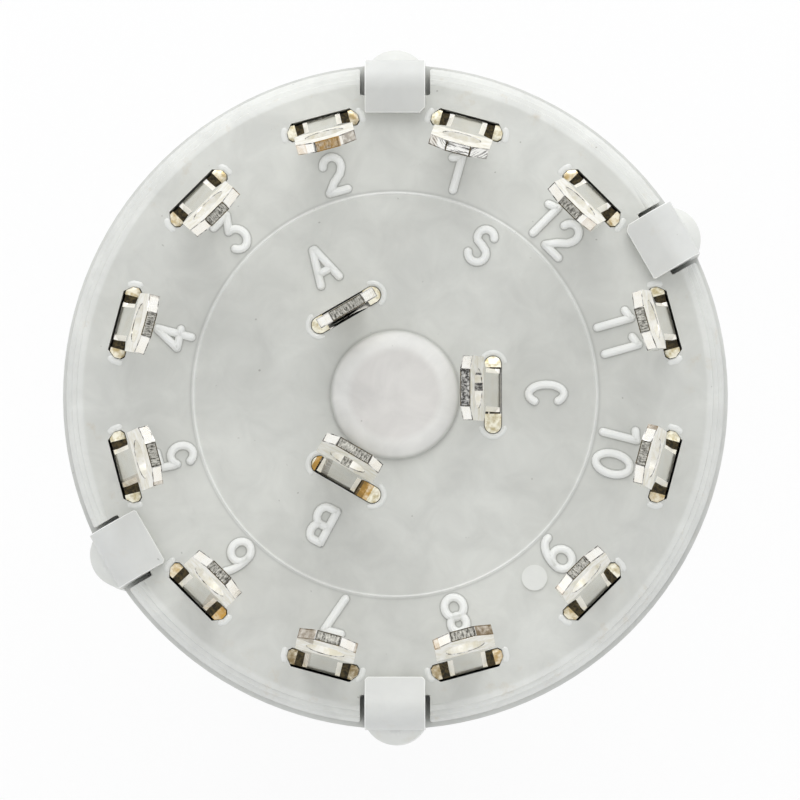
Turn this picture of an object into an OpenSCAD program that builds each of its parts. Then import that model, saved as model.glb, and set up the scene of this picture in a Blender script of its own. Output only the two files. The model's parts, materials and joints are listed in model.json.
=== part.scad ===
// Rotary switch, three poles by four ways, fixed through a panel by its bush.
// Z runs along the spindle: the panel lies on z = 0, the spindle points to -Z
// and the solder tags to +Z. X is to the right and Y is up as seen from the tags.

/* [Housing] */
// Outer diameter of the drum at its rear rim
drum_d = 27.4; // [27.2:0.1:28.4]
// How far the drum narrows on each side from its rim to the mounting face
drum_draft = 0.1; // [0:0.05:0.3]
// Thickness of the drum's side wall at its rim
drum_wall = 1.5; // [1.4:0.05:1.6]
// Thickness of the front wall
front_wall = 1.8; // [1.6:0.1:2.6]
// Rounding of the drum's front edge
front_edge = 0.4; // [0.2:0.1:0.6]
// Diameter of the bush over its thread
bush_d = 9.5; // [9:0.1:10]
// Length of the bush in front of the mounting face
bush_len = 9.5; // [6:0.5:12]
// Chamfer at the end of the bush
bush_chamfer = 0.5; // [0.3:0.1:0.8]
// Step from the bush out to the collar at its root
collar_h = 0.2; // [0.2:0.05:0.25]
// Diameter of the locating pip
pip_d = 2.8; // [2.2:0.1:3.2]
// Height of the locating pip
pip_len = 1.8; // [1:0.1:2.5]
// Distance of the locating pip from the spindle axis
pip_r = 9.6; // [9:0.1:11]
// Diameter of the half-round lug outside each hook
lug_d = 2.7; // [2.2:0.1:2.8]
// How far the lugs stand out from the drum's rim
lug_proud = 0.65; // [0.5:0.05:0.9]

/* [Hooks] */
// Width of a hook
hook_w = 2.48; // [2:0.02:2.8]
// Thickness of a hook's arm
hook_arm_t = 1.3; // [1.1:0.05:1.4]
// How far a hook reaches over the base from its arm
hook_grip = 0.87; // [0.7:0.01:1]
// How far a hook stands out from the drum's rim
hook_proud = 0.03; // [0:0.01:0.1]
// Height of the hooks above the base
hook_rise = 1.1; // [0.8:0.1:1.5]
// Rounding of a hook's outer top edge
hook_round = 0.85; // [0.5:0.05:1]
// Slope of the ramp on a hook's top, by which the base is pressed in
hook_ramp = 28; // [20:2:32]
// Gap between a hook and the base on each side
hook_side_gap = 0.2; // [0.1:0.02:0.3]
// Gap between a hook's arm and the bottom of its notch
hook_back_gap = 0.12; // [0.08:0.01:0.2]

/* [Base] */
// How far the base's edge stands in from the drum's rim
base_inset = 0.2; // [0.1:0.05:0.4]
// Thickness of the base's flange
flange_t = 2; // [1.6:0.1:2.6]
// Depth of the base's spigot in the drum
spigot_h = 1.2; // [0.8:0.1:1.6]
// Gap between the spigot and the drum on each side
spigot_gap = 0.05; // [0.02:0.01:0.08]
// Width of the stepped rim
rim_w = 0.7; // [0.5:0.05:0.8]
// Drop of the stepped rim from the flat to the side
rim_drop = 0.5; // [0.3:0.05:0.7]
// Diameter of the centre boss at its foot
boss_d = 5.3; // [4.8:0.1:5.6]
// Diameter of the flat on top of the centre boss
boss_top_d = 3.6; // [3.2:0.1:4.6]
// Height of the centre boss
boss_h = 0.7; // [0.5:0.1:1]
// Distance of the fine raised circle from the way tags' slots' outer edge
circle_in = 3.58; // [3.2:0.02:4]
// Width of the fine raised circle
circle_w = 0.12; // [0.08:0.01:0.2]
// Diameter of the ejector mark
mark_d = 1.05; // [0.8:0.05:1.4]
// Height of the ejector mark
mark_h = 0.07; // [0.05:0.01:0.15]
// Distance of the ejector mark from the way tags' slots' outer edge
mark_in = 2.43; // [2.3:0.01:2.6]

/* [Way tags] */
// Thickness of the tag metal
sheet_t = 0.43; // [0.4:0.01:0.46]
// Height of the tags above the base
tag_h = 6; // [5:0.1:7]
// Distance of the way tags' slots' outer edge from the base's edge
slot_edge = 1.64; // [1.62:0.01:1.7]
// Radial width of a way tag's slot
slot_w = 0.76; // [0.7:0.01:0.8]
// Length of a way tag's slot
slot_len = 3.04; // [2.9:0.02:3.2]
// Chamfer of a slot's outer corners along the slot
slot_chamfer = 0.28; // [0.2:0.02:0.36]
// Chamfer of a slot's outer corners along the radius
slot_chamfer_r = 0.34; // [0.3:0.02:0.42]
// Chamfer of a slot's inner corners
slot_corner = 0.14; // [0.1:0.01:0.2]
// Gap between a way tag and its slot's outer edge
tag_back_gap = 0.1; // [0.06:0.01:0.14]
// Gap between a way tag and its slot's ends
tag_end_gap = 0.03; // [0.03:0.01:0.08]
// Width of a way tag's neck
neck_w = 1.58; // [1.5:0.02:1.8]
// Width of the notch on each side of the neck
relief_w = 0.335; // [0.24:0.005:0.36]
// Depth of the notches below the shoulders
relief_h = 0.75; // [0.5:0.05:1]
// Depth below the notches to which staking has spread the metal across the slot
spread_h = 0.15; // [0.1:0.05:0.3]
// Height of the staked shoulders above the base
shoulder_rise = 0.1; // [0:0.02:0.2]
// Slope of the staked facet on each shoulder
stake_angle = 20; // [10:2:26]
// Depth of a tag's bend below the base's face
bend_depth = 0.05; // [0.04:0.01:0.2]
// Width of the coined edges on the outside of a tag's neck
coin_w = 0.2; // [0.1:0.01:0.24]
// Width of a way tag's head
head_w = 2.45; // [2.2:0.05:2.7]
// Height above the base where a head reaches its full width
head_z = 3.3; // [3:0.1:3.4]
// Height over which a neck widens into its head
head_flare = 0.4; // [0.2:0.1:0.8]
// Width of the sheared flat at the tip
tip_w = 1; // [0.8:0.05:1.4]
// Drop from the tip to the head's corners
tip_drop = 0.55; // [0.4:0.05:0.7]
// Diameter of the eyelets
eyelet_d = 1.6; // [1.4:0.05:1.7]
// Height of the eyelets above the base
eyelet_z = 4.35; // [4.2:0.05:4.4]
// Length of a contact pad along its radius
pad_len = 2.5; // [2.2:0.1:2.7]
// Width of a contact pad
pad_w = 2.4; // [2:0.1:2.6]

/* [Pole tags] */
// Distance of the pole tags from the spindle axis
pole_r = 4.1; // [4.06:0.01:4.2]
// Length of a pole tag's slot
pole_slot_len = 3.22; // [3.2:0.02:3.4]
// Width of a pole tag's slot
pole_slot_w = 0.74; // [0.68:0.01:0.8]
// Gap between a pole tag and its slot's outer edge
pole_back_gap = 0.07; // [0.05:0.01:0.1]
// Gap between a pole tag's shank and each end of its slot
pole_end_gap = 0.155; // [0.14:0.005:0.2]
// Width of a pole tag's neck
pole_neck_w = 1.77; // [1.6:0.01:1.9]
// Width of the notch on each side of a pole tag's neck
pole_relief_w = 0.07; // [0.05:0.01:0.12]
// Width of a pole tag's head
pole_head_w = 2.62; // [2.5:0.02:2.8]
// Width of the sheared flat at a pole tag's tip
pole_tip_w = 1.5; // [1.2:0.05:1.7]
// Radial width of a pole plate
plate_w = 1.8; // [1.6:0.1:2]
// Half the angle that a pole plate covers
plate_half = 53; // [52:1:55]

/* [Spindle] */
// Diameter of the spindle where the knob goes
spindle_d = 6; // [5:0.1:6.2]
// Length of the spindle in front of the mounting face
spindle_len = 22; // [18:0.5:30]
// Chamfer at the end of the spindle
spindle_chamfer = 0.5; // [0.3:0.1:0.8]
// Depth of the flat for a knob's screw
flat_depth = 0.5; // [0.3:0.1:0.5]
// Step from the knob's end of the spindle out to its bearing
shoulder_h = 0.2; // [0.2:0.05:0.3]
// How far the shoulder stands out of the bush
shoulder_out = 0.4; // [0.2:0.1:1]
// Running clearance of the spindle on each side
spindle_play = 0.05; // [0.02:0.01:0.08]
// Depth of the grease relief inside the bush
relief_depth = 0.15; // [0.1:0.05:0.3]
// Length of the bearing land at the mouth of the bush
land_len = 0.5; // [0.4:0.1:1]
// Diameter of the rear pivot
pivot_d = 3; // [2.6:0.1:3.4]
// Length of the rear pivot inside the base
pivot_len = 2.3; // [1.8:0.1:2.6]
// Space left behind the end of the pivot
pivot_space = 0.4; // [0.2:0.1:0.6]
// End float of the rotor
end_float = 0.1; // [0.05:0.01:0.15]

/* [Indexing] */
// Diameter of the indexing balls
ball_d = 3; // [2.8:0.1:3.2]
// Running clearance of a ball in its bore
ball_play = 0.05; // [0.02:0.01:0.08]
// Gap between a ball and the crest that it passes
ball_gap = 0.03; // [0.02:0.01:0.05]
// Wall of the hub round the ball bore
barrel_wall = 0.5; // [0.4:0.05:0.6]
// Plastic above and below the ball bore
barrel_cover = 0.65; // [0.5:0.05:0.8]
// Width of the thrust face round the spindle
thrust_w = 1.2; // [0.9:0.1:1.3]
// How far the hub's core stands out from the thrust face
core_step = 0.2; // [0.1:0.05:0.3]
// Depth of a notch below the crests
notch_depth = 0.45; // [0.35:0.05:0.5]
// Radius of a notch's curve
notch_r = 5; // [4.6:0.1:5.2]
// Thickness of the track behind its notches
track_back = 0.35; // [0.25:0.05:0.45]
// Height of the space for the stops
stop_h = 1.1; // [1:0.05:1.4]
// Thickness of the stop ring
ring_t = 0.6; // [0.5:0.05:0.7]
// Outer diameter of the stop ring
ring_d = 13.6; // [13.4:0.1:14]
// Clearance round the stop ring
ring_gap = 0.1; // [0.05:0.01:0.15]
// Radial width of the stop tab
tab_w = 1.2; // [1:0.05:1.2]
// Thickness of the stop tab along the ring
tab_t = 1.3; // [1.1:0.05:1.4]
// Clearance round the stop tab
tab_gap = 0.1; // [0.05:0.01:0.12]
// Angle left between the stop lug and a stop
stop_play = 0.4; // [0.2:0.1:1]

/* [Contacts] */
// Thickness of the contact carrier's disc
carrier_t = 1.4; // [1.3:0.05:1.6]
// Gap between the carrier and its neighbours
carrier_gap = 0.1; // [0.05:0.01:0.12]
// Radial gap between the carrier and the drum
carrier_side_gap = 0.3; // [0.2:0.05:0.4]
// Distance across the corners of the drive hexagon
hex_d = 5.8; // [5.4:0.1:6]
// Clearance of the drive hexagon
hex_gap = 0.05; // [0.03:0.01:0.08]
// Height of a fixed contact above the inside of the base
pad_proud = 0.1; // [0.05:0.01:0.12]
// Height of the fixed contacts above the carrier
contact_reach = 0.3; // [0.25:0.01:0.35]
// Gap between a bridge's points and the fixed contacts
contact_gap = 0.03; // [0.02:0.01:0.05]
// Thickness of a contact bridge
bridge_t = 0.35; // [0.3:0.01:0.4]
// Width of a contact bridge
bridge_w = 2.1; // [1.8:0.1:2.3]
// Clearance of a bridge in its channel
bridge_gap = 0.1; // [0.05:0.01:0.15]
// Depth of a bridge's back below the carrier's face
bridge_sunk = 0.15; // [0.1:0.01:0.2]
// Travel of a contact bridge against its spring
bridge_travel = 0.3; // [0.2:0.05:0.3]
// Radius of a bridge's contact points
point_r = 1; // [0.9:0.05:1]
// Length of a bridge beyond its contact points
bridge_tail = 0.8; // [0.7:0.05:0.8]
// Gap between a spring cup and the ball barrel beside it
cup_side_gap = 0.175; // [0.125:0.025:0.25]
// Depth of a spring cup below the carrier's disc
cup_depth = 1.8; // [1.4:0.1:2.2]
// Floor and wall of a spring cup
cup_wall = 0.45; // [0.4:0.05:0.5]

/* [Springs] */
// Outer diameter of a contact spring
contact_spring_d = 2.4; // [2.2:0.05:2.4]
// Wire of a contact spring
contact_wire_d = 0.25; // [0.2:0.01:0.3]
// Turns of a contact spring
contact_turns = 4.5; // [3.5:0.5:5.5]
// Gap between a contact spring and its cup
cup_gap = 0.1; // [0.05:0.01:0.15]
// Outer diameter of the ball spring
ball_spring_d = 2.6; // [2.3:0.05:2.7]
// Wire of the ball spring
ball_wire_d = 0.3; // [0.25:0.01:0.35]
// Turns of the ball spring
ball_turns = 17; // [14:1:20]

/* [Hidden] */
$fn = 96;
eps = 0.01;

// Angles are counted anticlockwise from +X as seen from the tags
step = 30;
way_1_angle = 75;
pole_a_angle = 120;
pole_step_angle = 120;
ball_angle = 45;
stop_tab_angle = 0;
fixed_stop_angle = 240;
mark_angle = -52.7;
pip_angle = 90;
hook_angles = [90, 210, 270, 30];
// Chamfers at each hook's inner corners, on its left and right with its radius upwards
hook_corners = [[0.05, 0.22], [0.1, 0.08], [0.13, 0.12], [0.2, 0.06]];
letters = ["a", "b", "c"];
// Inward and sideways lean of each way tag, as bent by hand
way_lean = [14.1, 12.1, 14, 12.5, 14.1, 12.5, 10.9, 12.1, 11.1, 10.9, 10.8, 12.6];
way_side = [-0.2, -0.7, -0.4, -0.3, -0.3, -2.5, -0.4, -1, -1.6, -1.15, -1, -1.4];
// The same for the pole tags, and how far each one's neck stands off the middle of its slot
pole_lean = [2.8, 11, 11.6];
pole_side = [0, -1.9, 1];
pole_shift = [0, 0.35, -0.17];
// Section of the stepped rim: share of its width from the edge, share of its drop
rim_steps = [[0, 1], [0.15, 0.6], [0.32, 0.45], [0.36, 0.3], [0.62, 0.2], [0.66, 0.08], [1, 0]];

// Levels along the spindle, from the mounting face to the tips of the tags
thrust_z = front_wall + end_float;
hub_z = thrust_z + stop_h;
hub_h = ball_d + 2 * ball_play + 2 * barrel_cover;
ball_z = hub_z + hub_h / 2;
carrier_z = hub_z + hub_h + carrier_gap;
carrier_top = carrier_z + carrier_t;
contact_z = carrier_top + contact_reach;
base_in_z = contact_z + pad_proud;
rim_z = base_in_z + spigot_h;
base_z = rim_z + flange_t;
boss_z = base_z + boss_h;
bend_z = base_z - bend_depth;
shoulder_z = base_z + shoulder_rise;
notch_z = shoulder_z - relief_h;
pivot_end = base_in_z + pivot_len;
tab_end_z = hub_z - 2 * carrier_gap;
track_top = carrier_z - 2 * carrier_gap;

// Radii
drum_front_r = drum_d / 2 - drum_draft;
drum_in_r = drum_d / 2 - drum_wall;
track_r = drum_in_r - track_back;
crest_r = track_r - notch_depth;
ball_r = ball_d / 2;
ball_seat_r = crest_r - ball_r - ball_gap;
arm_r = ball_seat_r + barrel_wall;
spindle_r = spindle_d / 2;
bearing_r = spindle_r + shoulder_h;
neck_r = bearing_r + thrust_w;
core_r = neck_r + core_step;
bush_bore_r = bearing_r + spindle_play;
collar_r = bush_d / 2 + collar_h;
recess_r = ring_d / 2 + ring_gap;
recess_h = ring_t + ring_gap;
carrier_r = drum_in_r - carrier_side_gap;
base_r = drum_d / 2 - base_inset;
slot_out_r = base_r - slot_edge;
circle_r = slot_out_r - circle_in;
pole_shank_w = pole_slot_len - 2 * pole_end_gap;
pole_slot_r = pole_r + sheet_t / 2 + pole_back_gap - pole_slot_w / 2;
mark_r = slot_out_r - mark_in;
tag_out_r = slot_out_r - tag_back_gap;
tag_mid_r = tag_out_r - sheet_t / 2;
slot_in_r = slot_out_r - slot_w;
slot_knee_r = slot_out_r - slot_chamfer_r;
hook_out_r = drum_d / 2 + hook_proud;
hook_arm_r = hook_out_r - hook_arm_t;
hook_in_r = hook_arm_r - hook_grip;
notch_in_r = hook_arm_r - hook_back_gap;
tab_r = (bush_d + ring_d) / 4;
lug_out_r = tab_r + tab_w / 2 + 2 * tab_gap;
tab_half = asin(tab_t / 2 / (tab_r - tab_w / 2));
lug_half = step / 2 - tab_half - stop_play;
stop_lug_angle = fixed_stop_angle + step / 2;
cup_in_r = contact_spring_d / 2 + cup_gap;
cup_out_r = cup_in_r + cup_wall;
barrel_half = ball_r + ball_play + barrel_wall;
cup_r = (barrel_half + cup_out_r + cup_side_gap) / sin(way_1_angle - ball_angle);
bridge_back = carrier_top - bridge_sunk - bridge_t;
channel_z = bridge_back - bridge_travel - bridge_gap / 2;
way_point_r = tag_out_r - pad_len + pad_w / 2;
pole_point_r = pole_r + (plate_w - sheet_t) / 2;
bridge_in_r = pole_point_r - bridge_tail;
bridge_out_r = way_point_r + bridge_tail;

// Turns a piece drawn with its radius along +Y to the given angle
module at_angle(angle) {
    rotate([0, 0, angle - 90])
        children();
}

module prism(points, h) {
    linear_extrude(h)
        polygon(points);
}

// Square bar that chamfers an edge along Y by the given width
module edge_cut(width, from_y, length) {
    side = width * sqrt(2);
    translate([0, from_y, 0])
        rotate([0, 45, 0])
            translate([-side / 2, 0, -side / 2])
                cube([side, length, side]);
}

// Wedge from the axis, half an angle wide on each side of +Y
module wedge(half, r, h) {
    far = 2 * r;
    prism([[0, 0], [far * sin(half), far * cos(half)], [-far * sin(half), far * cos(half)]], h);
}

// Round spring wire wound about Z, from z = 0 to z = length
module coil(outer_d, wire_d, length, turns) {
    steps = 12;
    sides = 6;
    rings = round(turns * steps);
    wire_r = wire_d / 2;
    mean_r = outer_d / 2 - wire_r;
    rise = length - wire_d;
    points = [
        for (i = [0:rings], k = [0:sides - 1])
            let (turn = 360 * i / steps, side = 360 * k / sides, out = mean_r + wire_r * cos(side))
            [out * cos(turn), out * sin(turn), wire_r + rise * i / rings + wire_r * sin(side)]
    ];
    skin = [
        for (i = [0:rings - 1], k = [0:sides - 1])
            let (a = i * sides + k, b = i * sides + (k + 1) % sides)
            [a, b, b + sides, a + sides]
    ];
    first = [for (k = [0:sides - 1]) sides - 1 - k];
    last = [for (k = [0:sides - 1]) rings * sides + k];
    polyhedron(points, concat([first], skin, [last]), convexity = 10);
}

module drum() {
    rotate_extrude()
        polygon([
            [bush_bore_r, -bush_len],
            [bush_d / 2 - bush_chamfer, -bush_len],
            [bush_d / 2, -bush_len + bush_chamfer],
            [bush_d / 2, 0],
            [collar_r, 0],
            [collar_r, recess_h],
            [recess_r, recess_h],
            [recess_r, 0],
            [drum_front_r - front_edge, 0],
            [drum_front_r - front_edge / 3, front_edge / 3],
            [drum_front_r, front_edge],
            [drum_d / 2, rim_z],
            [drum_in_r, rim_z],
            [drum_in_r, track_top],
            [crest_r, track_top],
            [crest_r, front_wall],
            [bush_bore_r, front_wall]
        ]);
}

// Outline of a hook, with its radius along X
function hook_outline() =
    let (
        top = base_z + hook_rise,
        under = base_z + eps,
        foot = rim_z - drum_wall,
        ramp_r = hook_out_r - hook_round - hook_round * sin(hook_ramp),
        ramp_z = top - hook_round + hook_round * cos(hook_ramp)
    )
    [
        [hook_arm_r, foot],
        [hook_arm_r, under],
        [hook_in_r, under],
        [hook_in_r, ramp_z - (ramp_r - hook_in_r) * tan(hook_ramp)],
        for (k = [8:-1:0])
            let (a = (90 + hook_ramp) * k / 8)
            [hook_out_r - hook_round + hook_round * cos(a), top - hook_round + hook_round * sin(a)],
        [hook_out_r, foot]
    ];

// Hook whose inner corners are broken on its left and right
module hook(corners) {
    difference() {
        rotate([90, 0, 90])
            translate([0, 0, -hook_w / 2])
                linear_extrude(hook_w)
                    polygon(hook_outline());
        for (side = [0, 1])
            translate([(side - 0.5) * hook_w, hook_in_r, base_z])
                rotate([90, 0, 0])
                    edge_cut(corners[side], 0, hook_rise + eps);
    }
}

// Half-round lug that stiffens the drum outside a hook, with a domed top
module lug() {
    lug_rad = lug_d / 2;
    translate([0, drum_d / 2 + lug_proud - lug_rad, 0]) {
        translate([0, 0, front_edge])
            cylinder(r = lug_rad, h = rim_z - lug_rad / 2 - front_edge);
        translate([0, 0, rim_z - lug_rad / 2])
            cylinder(r1 = lug_rad, r2 = lug_rad / 2, h = lug_rad / 2);
    }
}

module stop_block(gap, low, high) {
    translate([-tab_t / 2 - gap, tab_r - tab_w / 2 - gap, low])
        cube([tab_t + 2 * gap, tab_w + 2 * gap, high - low]);
}

module housing() {
    color([0.80, 0.81, 0.79])
        difference() {
            union() {
                drum();
                for (k = [0:3])
                    at_angle(hook_angles[k]) {
                        hook(hook_corners[k]);
                        difference() {
                            lug();
                            translate([0, 0, -eps])
                                cylinder(r = (drum_in_r + drum_d / 2) / 2, h = rim_z + 2 * eps);
                        }
                    }
                at_angle(pip_angle)
                    translate([0, pip_r, -pip_len])
                        cylinder(d = pip_d, h = pip_len + eps);
                at_angle(fixed_stop_angle)
                    stop_block(0, recess_h, tab_end_z);
            }
            for (k = [0:11])
                at_angle(ball_angle + k * step)
                    translate([0, track_r - notch_r, front_wall])
                        cylinder(r = notch_r, h = track_top - front_wall + eps);
            for (k = [0:11])
                if (k * step != fixed_stop_angle)
                    at_angle(k * step)
                        stop_block(tab_gap, recess_h - eps, front_wall + eps);
        }
}

module stop_ring() {
    color([0.22, 0.22, 0.23])
        difference() {
            union() {
                translate([0, 0, ring_gap])
                    cylinder(d = ring_d, h = ring_t);
                at_angle(stop_tab_angle)
                    stop_block(0, ring_gap, tab_end_z);
            }
            translate([0, 0, -eps])
                cylinder(r = collar_r + ring_gap, h = recess_h + 2 * eps);
        }
}

// Plan of a way tag's slot, with its radius along Y
function slot_outline(end_gap, out_r, in_r, corner) =
    let (
        half = slot_len / 2 - end_gap,
        cut = slot_chamfer * (out_r - slot_knee_r) / slot_chamfer_r
    )
    [
        [-half + corner, in_r],
        [half - corner, in_r],
        [half, in_r + corner],
        [half, slot_knee_r],
        [half - cut, out_r],
        [-half + cut, out_r],
        [-half, slot_knee_r],
        [-half, in_r + corner]
    ];

// Plan of a contact pad, with its radius along Y
module pad_plan(gap, h) {
    round_r = pad_w / 2 + gap;
    in_r = tag_out_r - pad_len;
    translate([-round_r, in_r + pad_w / 2, 0])
        cube([2 * round_r, tag_out_r + gap - in_r - pad_w / 2, h]);
    translate([0, in_r + pad_w / 2, 0])
        cylinder(r = round_r, h = h);
}

module pole_plan(gap, h) {
    in_r = pole_r - sheet_t / 2;
    intersection() {
        difference() {
            cylinder(r = in_r + plate_w + gap, h = h);
            translate([0, 0, -eps])
                cylinder(r = in_r - gap, h = h + 2 * eps);
        }
        wedge(plate_half + gap / in_r * 180 / PI, in_r + plate_w, h);
    }
}

// Plan of a pole tag's slot, drawn in by the given gap
module pole_slot_plan(gap, h) {
    end_r = pole_slot_w / 2 - gap;
    reach = (pole_slot_len - pole_slot_w) / 2;
    translate([-reach, pole_slot_r - end_r, 0])
        cube([2 * reach, 2 * end_r, h]);
    for (x = [-reach, reach])
        translate([x, pole_slot_r, 0])
            cylinder(r = end_r, h = h);
}

module base_blank() {
    rotate_extrude()
        polygon([
            [0, base_in_z],
            [drum_in_r - spigot_gap, base_in_z],
            [drum_in_r - spigot_gap, rim_z],
            [base_r, rim_z],
            for (share = rim_steps)
                [base_r - rim_w * share[0], base_z - rim_drop * share[1]],
            [circle_r + circle_w / 2, base_z],
            [circle_r, base_z + circle_w / 3],
            [circle_r - circle_w / 2, base_z],
            for (a = [0:15:90])
                [(boss_top_d + (boss_d - boss_top_d) * cos(a)) / 2, base_z + boss_h * sin(a)],
            [0, boss_z]
        ]);
}

module base() {
    through = flange_t + spigot_h + 2 * eps;
    recess = sheet_t - pad_proud + eps;
    color([0.82, 0.83, 0.81])
        difference() {
            union() {
                base_blank();
                rotate([0, 0, mark_angle])
                    translate([mark_r, 0, base_z - eps])
                        cylinder(d = mark_d, h = mark_h + eps);
            }
            translate([0, 0, base_in_z - eps])
                cylinder(r = pivot_d / 2 + spindle_play, h = pivot_len + pivot_space + eps);
            for (k = [0:11])
                at_angle(way_1_angle + k * step) {
                    translate([0, 0, base_in_z - eps])
                        prism(slot_outline(0, slot_out_r, slot_in_r, slot_corner), through);
                    translate([0, 0, base_in_z - eps])
                        pad_plan(tag_end_gap, recess + eps);
                }
            for (k = [0:2])
                at_angle(pole_a_angle + k * pole_step_angle) {
                    translate([0, 0, base_in_z - eps])
                        pole_slot_plan(0, through);
                    translate([0, 0, base_in_z - eps])
                        pole_plan(tag_end_gap, recess + eps);
                }
            for (angle = hook_angles)
                at_angle(angle)
                    translate([-hook_w / 2 - hook_side_gap, notch_in_r, rim_z - eps])
                        cube([hook_w + 2 * hook_side_gap, drum_wall * 2, flange_t + 2 * eps]);
        }
}

// Upright outline of a tag above its bend, with the bend at y = 0
function tag_outline(neck, head, tip) =
    [
        [-neck / 2, 0],
        [neck / 2, 0],
        [neck / 2, bend_depth + head_z - head_flare],
        [head / 2, bend_depth + head_z],
        [head / 2, bend_depth + tag_h - tip_drop],
        [tip / 2, bend_depth + tag_h],
        [-tip / 2, bend_depth + tag_h],
        [-head / 2, bend_depth + tag_h - tip_drop],
        [-head / 2, bend_depth + head_z],
        [-neck / 2, bend_depth + head_z - head_flare]
    ];

// The part of a tag above its bend, which leans towards the axis
module tag_blade(neck, head, tip, lean, side, mid_r) {
    bend_w = neck - 3 * coin_w;
    translate([0, mid_r, bend_z]) {
        rotate([lean, side, 0])
            translate([0, sheet_t / 2, 0])
                rotate([90, 0, 0])
                    difference() {
                        linear_extrude(sheet_t)
                            polygon(tag_outline(neck, head, tip));
                        translate([0, bend_depth + eyelet_z, -eps])
                            cylinder(d = eyelet_d, h = sheet_t + 2 * eps);
                        for (x = [-neck / 2, neck / 2])
                            translate([x, 0, 0])
                                edge_cut(coin_w, 2 * bend_depth, head_z - head_flare - 2 * bend_depth);
                    }
        translate([-bend_w / 2, 0, 0])
            rotate([0, 90, 0])
                cylinder(r = sheet_t / 2 - eps / 2, h = bend_w);
    }
}

// Fixed contact that lies in the base, its shank in the slot and its tag above
module terminal(number) {
    fold_r = sheet_t * 1.2;
    in_r = tag_out_r - sheet_t;
    shoulder_r = slot_in_r + tag_end_gap;
    shoulder_in = neck_w / 2 + relief_w;
    facet_x = (shoulder_in + slot_len / 2) / 2;
    shank_corner = (slot_knee_r - in_r) / 2;
    color([0.80, 0.79, 0.74])
        at_angle(way_1_angle + (number - 1) * step) {
            difference() {
                union() {
                    translate([0, 0, contact_z])
                        pad_plan(0, sheet_t);
                    translate([0, 0, contact_z + eps])
                        prism(slot_outline(tag_end_gap, tag_out_r, in_r, shank_corner), notch_z - contact_z);
                    translate([0, 0, notch_z - spread_h])
                        prism(slot_outline(tag_end_gap, tag_out_r, shoulder_r, slot_corner), spread_h);
                }
                translate([-slot_len, tag_out_r - fold_r, contact_z - eps])
                    difference() {
                        cube([2 * slot_len, 2 * fold_r, fold_r + eps]);
                        translate([-eps, 0, fold_r + eps])
                            rotate([0, 90, 0])
                                cylinder(r = fold_r, h = 2 * slot_len + 2 * eps);
                    }
            }
            translate([-neck_w / 2, in_r, notch_z])
                cube([neck_w, sheet_t, bend_z - notch_z]);
            difference() {
                translate([0, 0, notch_z])
                    prism(slot_outline(tag_end_gap, tag_out_r, shoulder_r, slot_corner), relief_h);
                translate([-shoulder_in, 0, notch_z - eps])
                    cube([2 * shoulder_in, 2 * tag_out_r, relief_h + 2 * eps]);
                translate([0, shoulder_r, shoulder_z])
                    rotate([45, 0, 0])
                        cube([2 * slot_len, sheet_t / 2, sheet_t / 2], center = true);
                for (side = [0, 1])
                    translate([(2 * side - 1) * facet_x, (shoulder_r + tag_out_r) / 2, shoulder_z])
                        rotate([0, 0, 135 - 90 * side])
                            rotate([0, stake_angle, 0])
                                translate([0, -slot_len / 2, 0])
                                    cube([slot_len, slot_len, relief_h]);
            }
            tag_blade(neck_w, head_w, tip_w, way_lean[number - 1], way_side[number - 1], tag_mid_r);
        }
}

// Contact plate of a pole, with the tag folded up from its inner edge
module pole(index) {
    in_r = pole_r - sheet_t / 2;
    neck_x = pole_shift[index] - pole_neck_w / 2;
    facet_x = (pole_slot_len - pole_slot_w) / 2;
    color([0.80, 0.79, 0.74])
        at_angle(pole_a_angle + index * pole_step_angle) {
            translate([0, 0, contact_z])
                pole_plan(0, sheet_t);
            translate([-pole_shank_w / 2, in_r, contact_z + sheet_t - eps])
                cube([pole_shank_w, sheet_t, notch_z - contact_z - sheet_t + eps]);
            translate([neck_x, in_r, notch_z])
                cube([pole_neck_w, sheet_t, bend_z - notch_z]);
            difference() {
                translate([0, 0, notch_z])
                    pole_slot_plan(tag_end_gap, relief_h);
                translate([neck_x - pole_relief_w, 0, notch_z - eps])
                    cube([pole_neck_w + 2 * pole_relief_w, 2 * pole_r, relief_h + 2 * eps]);
                for (turn = [0, 180])
                    translate([0, pole_slot_r, shoulder_z])
                        rotate([0, 0, turn])
                            translate([facet_x, 0, 0])
                                rotate([0, stake_angle, 0])
                                    translate([0, -pole_slot_w, 0])
                                        cube([pole_slot_w, 2 * pole_slot_w, relief_h]);
            }
            translate([pole_shift[index], 0, 0])
                tag_blade(pole_neck_w, pole_head_w, pole_tip_w, pole_lean[index], pole_side[index], pole_r);
        }
}

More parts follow.
